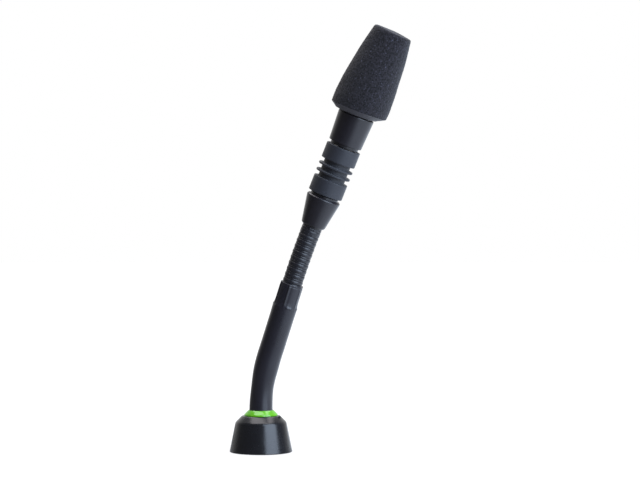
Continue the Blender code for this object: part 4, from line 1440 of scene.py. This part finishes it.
class MIC_OT_cone(bpy.types.Operator):
    """Tapered nut between the neck and the isolator"""

    bl_idname = "mic.cone"
    bl_label = "Adapter cone"

    def execute(self, context):
        sizes = settings().head
        low, high, radius = span("adapter_cone")
        collar = 0.9 * MM
        shoulder = high - collar
        mouth = settings().neck.rib_radius + 0.12 * MM
        collar_radius, tip, tip_face, socket, cable_way = (v * MM for v in (5.65, 4.9, 4.4, 3.3, 2.3))
        socket_floor = low + 6.4 * MM
        corners = [
            (collar_radius, high, 0.15 * MM),
            (collar_radius, shoulder, 0.1 * MM),
            (radius - sizes.cone_chamfer, shoulder, 0.15 * MM),
            (radius, shoulder - sizes.cone_chamfer, 0.3 * MM),
            (tip, low + 0.5 * MM, 0.35 * MM),
            (tip_face, low, 0.1 * MM),
            (mouth, low, 0.05 * MM),
            (mouth, low + 1.8 * MM, 0),
            (socket, low + 1.9 * MM, 0),
            (socket, socket_floor, 0),
            (cable_way, socket_floor, 0),
            (cable_way, high, 0),
        ]
        mesh = turned(rounded(corners))
        piece("neck_cone", mesh, housing_plastic, ["adapter_cone"], "head_base", HEAD)
        return {"FINISHED"}


class MIC_OT_isolator(bpy.types.Operator):
    """Moulded rubber isolator, in two halves that meet at its middle"""

    bl_idname = "mic.isolator"
    bl_label = "Rubber isolator"

    def execute(self, context):
        low, high, radius = span("isolator_rubber")
        ring = settings().head.ring_height
        gap = 0.2 * MM
        upright, upside_down = Matrix(), Matrix.Rotation(math.pi, 4, "X")
        for name, turn, outer_body, start, end in (
            ("isolator_lower_half", upright, "head_base", -gap, low + ring),
            ("isolator_upper_half", upside_down, "preamp", gap, high - ring),
        ):
            mesh = self.half(low, radius)
            mesh.transform(turn)
            obj = piece(name, mesh, isolator_rubber, ["isolator_rubber"], placed=HEAD)
            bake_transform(obj)
        return {"FINISHED"}

    @staticmethod
    def half(low, radius):
        """The lower half in the head's frame, from its open end up to the middle plane."""
        sizes = settings().head
        ring_top = low + sizes.ring_height
        zone = -2 * ring_top
        groove = (zone - 2 * sizes.fin_height) / 3
        fin_low = ring_top + groove
        fin_high = fin_low + sizes.fin_height
        core = sizes.fin_core
        pocket, pocket_floor = 4.3 * MM, low + 5.0 * MM
        cable_way = 1.6 * MM
        edge = sizes.edge
        corners = [
            (core, 0, 0),
            (core, fin_high, 0.25 * MM),
            (radius, fin_high - 0.08 * MM, 0.3 * MM),
            (radius, fin_low + 0.08 * MM, 0.3 * MM),
            (core, fin_low, 0.25 * MM),
            (core, ring_top, 0.25 * MM),
            (radius - 0.08 * MM, ring_top, edge),
            (radius - 0.08 * MM, low, edge),
            (radius - 0.9 * MM, low, 0.1 * MM),
            (radius - 1.0 * MM, low + 0.25 * MM, 0),
            (pocket, low + 0.25 * MM, 0),
            (pocket, pocket_floor, 0),
            (cable_way, pocket_floor, 0),
            (cable_way, 0, 0),
        ]
        outline = rounded(corners)
        return turned(fine_steps(outline, 0.6 * MM))


def fine_steps(outline, longest):
    """An outline with its long edges divided."""
    points = []
    for here, after in zip(outline, outline[1:] + outline[:1]):
        count = max(1, math.ceil(math.dist(here, after) / longest))
        for k in range(count):
            share = k / count
            points.append(tuple(a + (b - a) * share for a, b in zip(here, after)))
    return points


class MIC_OT_housing(bpy.types.Operator):
    """Flared preamplifier housing with its threaded spigot"""

    bl_idname = "mic.housing"
    bl_label = "Preamplifier housing"

    def execute(self, context):
        low, top, radius = span("preamp_housing")
        shoulder = span("cartridge_washer")[0] - 0.3 * MM
        body = low + 1.1 * MM
        edge = settings().head.edge
        spigot, boss, foot_radius, cable_way, chamber = (v * MM for v in (5.6, 5.7, 6.7, 2.8, 5.0))
        chamber_floor = body + 2.8 * MM
        thread = []
        pitch = 0.75 * MM
        turns = 5
        for i in range(turns):
            high = top - 0.2 * MM - i * pitch
            thread += [(spigot, high, 0), (spigot - 0.3 * MM, high - pitch / 2, 0)]
        corners = [
            (spigot - 0.3 * MM, top, 0),
            *thread,
            (spigot - 0.2 * MM, shoulder, 0),
            (radius - 0.1 * MM, shoulder, edge),
            (radius, shoulder - 0.4 * MM, 0.3 * MM),
            (foot_radius, body + 0.1 * MM, edge),
            (foot_radius - 0.3 * MM, body, 0.1 * MM),
            (boss, body, 0.1 * MM),
            (boss, low, 0.1 * MM),
            (cable_way, low, 0),
            (cable_way, chamber_floor, 0),
            (chamber, chamber_floor, 0),
            (chamber, top, 0),
        ]
        mesh = turned(rounded(corners))
        piece(
            "housing_shell", mesh, housing_plastic, ["preamp_housing"], "preamp", HEAD
        )
        return {"FINISHED"}


class MIC_OT_cartridge(bpy.types.Operator):
    """Cartridge under the windscreen: grooved shell, perforated grille and seal washer"""

    bl_idname = "mic.cartridge"
    bl_label = "Cartridge"

    def execute(self, context):
        self.make_washer()
        self.make_shell()
        self.make_grille()
        return {"FINISHED"}

    @staticmethod
    def make_washer():
        low, high, radius = span("cartridge_washer")
        outer, hole = radius - 0.05 * MM, 5.9 * MM
        corners = [
            (outer, high, 0.2 * MM),
            (outer, low, 0.2 * MM),
            (hole, low, 0.1 * MM),
            (hole, high, 0.1 * MM),
        ]
        mesh = turned(rounded(corners), PLAIN_STEPS)
        piece("seal_washer", mesh, isolator_rubber, ["cartridge_washer"], "washer", HEAD)

    @staticmethod
    def make_shell():
        low, high, radius = span("cartridge_shell")
        socket, ledge, chamber = 5.9 * MM, 4.3 * MM, 6.1 * MM
        ledge_low = low + 5.5 * MM
        ledge_top = ledge_low + 1.0 * MM
        corners = [(radius, high, 0.15 * MM)]
        grooves, groove_pitch, groove_radius = 3, 1.1 * MM, radius - 0.22 * MM
        for i in range(grooves):
            ring = low + 4.2 * MM - i * groove_pitch
            corners += [(radius, ring, 0.05 * MM), (groove_radius, ring - 0.15 * MM, 0)]
            corners += [(groove_radius, ring - 0.4 * MM, 0), (radius, ring - 0.55 * MM, 0.05 * MM)]
        corners += [
            (radius, low, 0.3 * MM),
            (socket, low, 0.1 * MM),
            (socket, ledge_low, 0),
            (ledge, ledge_low, 0.1 * MM),
            (ledge, ledge_top, 0.1 * MM),
            (chamber, ledge_top, 0),
            (chamber, high, 0.1 * MM),
        ]
        mesh = turned(rounded(corners), 96)
        piece(
            "cartridge_body", mesh, black_brass, ["cartridge_shell"], "cartridge", HEAD
        )

    @staticmethod
    def make_grille():
        low, high, radius = span("cartridge_grille")
        seat = low + 1.5 * MM
        rim = high - 0.45 * MM
        skirt, bore = 5.8 * MM, 5.0 * MM
        corners = [
            (0, high, 0),
            (radius - 1.2 * MM, high, 0.6 * MM),
            (radius, rim, 0.5 * MM),
            (radius, seat, 0.1 * MM),
            (skirt, seat, 0),
            (skirt, low, 0.1 * MM),
            (bore, low, 0),
            (bore, seat, 0.2 * MM),
            (0, seat, 0),
        ]
        sizes = settings().head
        plate = helper("grille_plate", turned(rounded(corners), PLAIN_STEPS))
        mesh = grown(
            plate,
            perforated_tree(),
            {
                "Pitch": sizes.grille_pitch,
                "Hole radius": sizes.grille_hole / 2,
                "Reach": 4.6 * MM,
                "Depth": 6 * MM,
                "Height": (seat + high) / 2,
                "Finish": finish(black_brass),
            },
        )
        piece(
            "cartridge_cap", mesh, black_brass, ["cartridge_grille"], "cartridge", HEAD
        )


# ---------------------------------------------------------------- windscreen


class MIC_OT_snap_ring(bpy.types.Operator):
    """Plastic ring in the windscreen's mouth, with beads that snap on to the cartridge"""

    bl_idname = "mic.snap_ring"
    bl_label = "Windscreen ring"

    def execute(self, context):
        low, high, radius = span("windscreen_ring")
        inner = radius - 1.0 * MM
        corners = [
            (radius, high, 0.25 * MM),
            (radius, low, 0.15 * MM),
            (inner, low, 0.3 * MM),
            (inner, high, 0.15 * MM),
        ]
        hoop = turned(rounded(corners), 96)
        bead = bmesh.new()
        bmesh.ops.create_uvsphere(bead, u_segments=16, v_segments=10, radius=0.22 * MM)
        bmesh.ops.scale(bead, vec=(0.8, 4.0, 1.0), verts=bead.verts)
        middle = (low + high) / 2
        beads = ring_of(closed_mesh(bead), 6, inner, middle, 0, finish(housing_plastic))
        mesh = joined(hoop, beads)
        replaced = ["windscreen_ring"]
        piece("windscreen_snap_ring", mesh, housing_plastic, replaced, "windscreen", HEAD)
        return {"FINISHED"}


class MIC_OT_foam(bpy.types.Operator):
    """Foam windscreen: cut and ground to a taper, relaxed as cloth, then opened into cells"""

    bl_idname = "mic.foam"
    bl_label = "Foam windscreen"

    MOST_RELAXED = 0.35 * MM
    RELAX_STEPS = 8

    def execute(self, context):
        solid = self.cut_solid()
        coarse = self.remeshed(solid, 0.6 * MM)
        coarse = self.relaxed(coarse)
        fine = self.remeshed(coarse, settings().foam.voxel)
        cut = self.knife_cut(fine)
        self.open_cells(fine, cut)
        self.leaned(fine)
        obj = piece(
            "windscreen_foam", fine, open_cell_foam, ["foam_windscreen"], "windscreen", HEAD
        )
        obj.data.shade_smooth()
        # The cut band gets the foam that is painted lighter for the floor's light.
        obj.data.materials.append(finish(painted_light_cut_band))
        for face in obj.data.polygons:
            face.material_index = int(all(cut[i] > 0.5 for i in face.vertices))
        return {"FINISHED"}

    @staticmethod
    def knife_cut(mesh):
        """Presses the lower edge back to the straight cut across it. How far into the cut each
        point lies, from 0 to 1."""
        sizes = settings().foam
        low = span("foam_windscreen")[0]
        inner = sizes.lower_radius - sizes.chamfer_width
        length = math.hypot(sizes.chamfer_width, sizes.chamfer_height)
        out, down = sizes.chamfer_height / length, sizes.chamfer_width / length
        cut = []
        for vertex in mesh.vertices:
            reach = math.hypot(vertex.co.x, vertex.co.y)
            rise = vertex.co.z - low - sizes.cut_tilt * vertex.co.x / sizes.lower_radius
            beyond = (reach - inner) * out - rise * down
            cut.append(min(max(1 + beyond / (0.15 * MM), 0), 1))
            if beyond > 0:
                share = (reach - beyond * out) / reach
                vertex.co.x *= share
                vertex.co.y *= share
                vertex.co.z += beyond * down
        return cut

    @staticmethod
    def cut_solid():
        sizes = settings().foam
        low, top, radius = span("foam_windscreen")
        mouth = span("windscreen_ring")[0]
        seat = span("windscreen_ring")[2] + 0.1 * MM
        seat_top = span("windscreen_ring")[1] + 0.2 * MM
        bore = span("cartridge_shell")[2] + 0.3 * MM
        roof = span("cartridge_grille")[1] + 0.5 * MM
        shoulder = top - sizes.top_round
        widest = low + sizes.widest_at
        side = []
        for share in np.linspace(0, 1, 9):
            straight = sizes.top_radius + (radius - sizes.top_radius) * share
            full = straight + 4 * sizes.bulge * share * (1 - share)
            side.append((full, shoulder + (widest - shoulder) * share, 0))
        corners = [
            (0, top, 0),
            (sizes.top_radius - sizes.top_round * 0.7, top, sizes.top_round * 0.6),
            *side,
            (sizes.lower_radius, low, 0),
            (bore, low, 0.15 * MM),
            (bore, mouth - 0.05 * MM, 0),
            (seat, mouth - 0.05 * MM, 0),
            (seat, seat_top, 0),
            (bore, seat_top, 0),
            (bore, roof, 0.5 * MM),
            (0, roof, 0),
        ]
        return turned(rounded(corners), 96)

    @staticmethod
    def remeshed(mesh, voxel):
        obj = helper("foam_blank", mesh)
        remesh = obj.modifiers.new("voxels", "REMESH")
        remesh.mode = "VOXEL"
        remesh.voxel_size = voxel
        return baked(obj)

    def relaxed(self, mesh):
        """The outer skin let go for a few steps with its bore pinned, and capped."""
        obj = helper("foam_skin", mesh)
        before = np.array([v.co for v in mesh.vertices])
        bore = span("windscreen_ring")[2] + 0.7 * MM
        roof = span("cartridge_grille")[1] + MM
        reach = np.hypot(before[:, 0], before[:, 1])
        held = np.flatnonzero((reach < bore) & (before[:, 2] < roof))
        group = obj.vertex_groups.new(name="bore")
        group.add([int(i) for i in held], 1.0, "REPLACE")
        cloth = obj.modifiers.new("relax", "CLOTH")
        cloth.settings.vertex_group_mass = "bore"
        cloth.settings.use_pressure = True
        cloth.settings.uniform_pressure_force = 2.0
        cloth.settings.effector_weights.gravity = 0
        cloth.settings.quality = 5
        scene = bpy.context.scene
        scene.frame_start, scene.frame_end = 1, self.RELAX_STEPS
        for number in range(1, self.RELAX_STEPS + 1):
            scene.frame_set(number)
        result = baked(obj)
        scene.frame_set(1)
        after = np.array([v.co for v in result.vertices])
        moved = after - before
        length = np.linalg.norm(moved, axis=1, keepdims=True)
        moved *= np.minimum(1, self.MOST_RELAXED / np.maximum(length, 1e-9))
        for vertex, place in zip(result.vertices, before + moved):
            vertex.co = place
        return result

    @staticmethod
    def leaned(mesh):
        """Bends the soft foam a little past the cartridge, whose cavity stays straight."""
        low, top, _ = span("foam_windscreen")
        lean = settings().foam.lean
        power = 1.3
        held = span("windscreen_ring")[2] + 0.3 * MM
        roof = span("cartridge_grille")[1] + 0.5 * MM
        for vertex in mesh.vertices:
            x, y, height = vertex.co
            outside = max(math.hypot(x, y) - held, height - roof) / MM
            share = min(max(outside, 0), 1)
            rise = max(height - low, 0) / (top - low)
            slope = lean * power * rise ** (power - 1) / (top - low)
            vertex.co.x += share * lean * rise**power
            vertex.co.z -= share * slope * x

    @staticmethod
    def open_cells(mesh, cut):
        """Pits where cells are cut open, walls between them, and slow hand-cut waves. The hot-cut
        band is nearly sealed."""
        sizes = settings().foam
        normals = [v.normal.copy() for v in mesh.vertices]
        for vertex, normal, sealed in zip(mesh.vertices, normals, cut):
            place = vertex.co / sizes.cell
            near = noise.voronoi(place)[0]
            wall = min(1.0, (near[1] - near[0]) * 2.2)
            ragged = noise.noise(place * 2.3) * 0.35
            wave = noise.noise(vertex.co / (7 * MM)) * 0.22 * MM
            depth = sizes.pit_depth * (1 - 0.8 * sealed)
            vertex.co -= normal * (depth * (wall - 0.35 + ragged) + 0.1 * MM - wave)


# ---------------------------------------------------------------- carried-over nodes and stage


class MIC_OT_insides(bpy.types.Operator):
    """Materials of the pieces that the frame itself shows: collar, ferrules, boards, capsule"""

    bl_idname = "mic.insides"
    bl_label = "Inner pieces"

    FINISHES = (
        (nickel, ("neck_collar", "base_ferrule", "isolator_lower_stud", "isolator_upper_stud")),
        (coated_winding, ("top_ferrule",)),
        (circuit_board, ("connector_board", "led_board", "preamp_board", "capsule_board")),
        (lamp_lens, ("led_1", "led_2", "led_3", "led_4")),
        (housing_plastic, ("preamp_chip",)),
        (gold, ("cartridge_contact_pin",)),
        (isolator_rubber, ("capsule_gasket",)),
        (capsule_metal, ("electret_capsule",)),
        (woven_cloth, ("acoustic_cloth",)),
    )

    def execute(self, context):
        for make, names in self.FINISHES:
            for name in names:
                mesh = NODES[name].data
                mesh.materials.clear()
                mesh.materials.append(finish(make))
        return {"FINISHED"}


class MIC_OT_stage(bpy.types.Operator):
    """Lit paper floor, softboxes, room light and camera"""

    bl_idname = "mic.stage"
    bl_label = "Studio"

    def execute(self, context):
        values = settings().stage
        turn = values.camera_turn
        right = Vector((math.cos(turn), math.sin(turn), 0))
        look = Vector((-math.sin(turn), math.cos(turn), 0))
        self.make_floor()
        self.make_camera(context, right, look)
        aim = Vector((0.03, 0, 0.08))
        key = aim + right * 0.64 - look * 0.64 + Vector((0, 0, 0.32))
        self.softbox("key_softbox", key, aim, (0.96, 1.2), values.key_power, (0.67, 0.8, 1.0))
        top = aim + Vector((0, 0, 0.95)) + look * 0.2
        self.softbox("top_softbox", top, aim, (1.1, 1.1), values.top_power, (1.0, 0.97, 1.0))
        self.light_room(context, look)
        context.scene.view_settings.view_transform = "Standard"
        return {"FINISHED"}

    @staticmethod
    def make_floor():
        """A large floor, level with the foot's underside."""
        bm = bmesh.new()
        bmesh.ops.create_circle(bm, cap_ends=True, segments=96, radius=6)
        floor = helper("paper_floor", closed_mesh(bm))
        floor.data.materials.append(finish(studio_paper))

    @staticmethod
    def make_camera(context, right, look):
        values = settings().stage
        camera = bpy.data.cameras.new("camera")
        camera.sensor_width = 36
        camera.lens = camera.sensor_width * values.camera_distance / values.camera_width
        camera.clip_start = 0.01
        obj = bpy.data.objects.new("camera", camera)
        context.scene.collection.objects.link(obj)
        place = right * values.camera_aside - look * values.camera_distance
        obj.location = place + Vector((0, 0, values.camera_height))
        obj.rotation_euler = look.to_track_quat("-Z", "Y").to_euler()
        context.scene.camera = obj

    @staticmethod
    def softbox(name, place, aim, sides, power, tint):
        light = bpy.data.lights.new(name, "AREA")
        light.shape = "RECTANGLE"
        light.size, light.size_y = sides
        light.energy = power
        light.color = tint
        obj = bpy.data.objects.new(name, light)
        bpy.context.scene.collection.objects.link(obj)
        obj.location = place
        obj.rotation_euler = (aim - place).to_track_quat("-Z", "Y").to_euler()

    @staticmethod
    def light_room(context, look):
        """White where the camera looks past the floor. As light, bright behind and dim in front."""
        world = bpy.data.worlds.new("studio")
        context.scene.world = world
        world.use_nodes = True
        tree = world.node_tree
        shader = tree.nodes["Background"]
        direction = add(tree, "ShaderNodeTexCoord").outputs["Generated"]
        facing = add(
            tree, "ShaderNodeVectorMath", {0: direction, 1: tuple(look)}, operation="DOT_PRODUCT"
        )
        spread = add(
            tree,
            "ShaderNodeMapRange",
            {
                "Value": facing.outputs["Value"],
                "From Min": 0.2,
                "From Max": 1.0,
                "To Min": settings().stage.ambient,
                "To Max": 1.0,
            },
        )
        sight = add(tree, "ShaderNodeLightPath").outputs["Is Camera Ray"]
        levels = {0: sight, 2: spread.outputs[0], 3: 1.0}
        strength = add(tree, "ShaderNodeMix", levels, data_type="FLOAT")
        fill(tree, shader, {"Color": (1, 1, 1, 1), "Strength": strength.outputs[0]})


# ---------------------------------------------------------------- panel and run


OPERATORS = (
    MIC_OT_stage,
    MIC_OT_foot,
    MIC_OT_lock_screw,
    MIC_OT_underside,
    MIC_OT_light_ring,
    MIC_OT_sleeve,
    MIC_OT_winding,
    MIC_OT_cable,
    MIC_OT_cone,
    MIC_OT_isolator,
    MIC_OT_housing,
    MIC_OT_cartridge,
    MIC_OT_snap_ring,
    MIC_OT_foam,
    MIC_OT_insides,
)


class MIC_PT_sidebar(bpy.types.Panel):
    """Sizes, colours and the pieces' buttons"""

    bl_idname = "MIC_PT_sidebar"
    bl_label = "Gooseneck Microphone"
    bl_space_type = "VIEW_3D"
    bl_region_type = "UI"
    bl_category = "Microphone"

    def draw(self, context):
        values = settings()
        for title in ("foot", "neck", "head", "foam", "colours", "stage"):
            box = self.layout.box()
            box.label(text=title.capitalize())
            group = getattr(values, title)
            for name in group.bl_rna.properties.keys():
                if name not in ("rna_type", "name"):
                    box.prop(group, name)
        for operator in OPERATORS:
            self.layout.operator(operator.bl_idname)


GROUPS = (
    MicFootSizes,
    MicNeckSizes,
    MicHeadSizes,
    MicFoamSizes,
    MicColours,
    MicStageSettings,
    MicSettings,
)


def register():
    for cls in (*GROUPS, *OPERATORS, MIC_PT_sidebar):
        bpy.utils.register_class(cls)
    bpy.types.Scene.gooseneck_mic = bpy.props.PointerProperty(type=MicSettings)


def unregister():
    del bpy.types.Scene.gooseneck_mic
    for cls in (MIC_PT_sidebar, *reversed(OPERATORS), *reversed(GROUPS)):
        bpy.utils.unregister_class(cls)


def main():
    register()
    for operator in OPERATORS:
        group, name = operator.bl_idname.split(".")
        getattr(getattr(bpy.ops, group), name)()


if __name__ == "__main__":
    main()
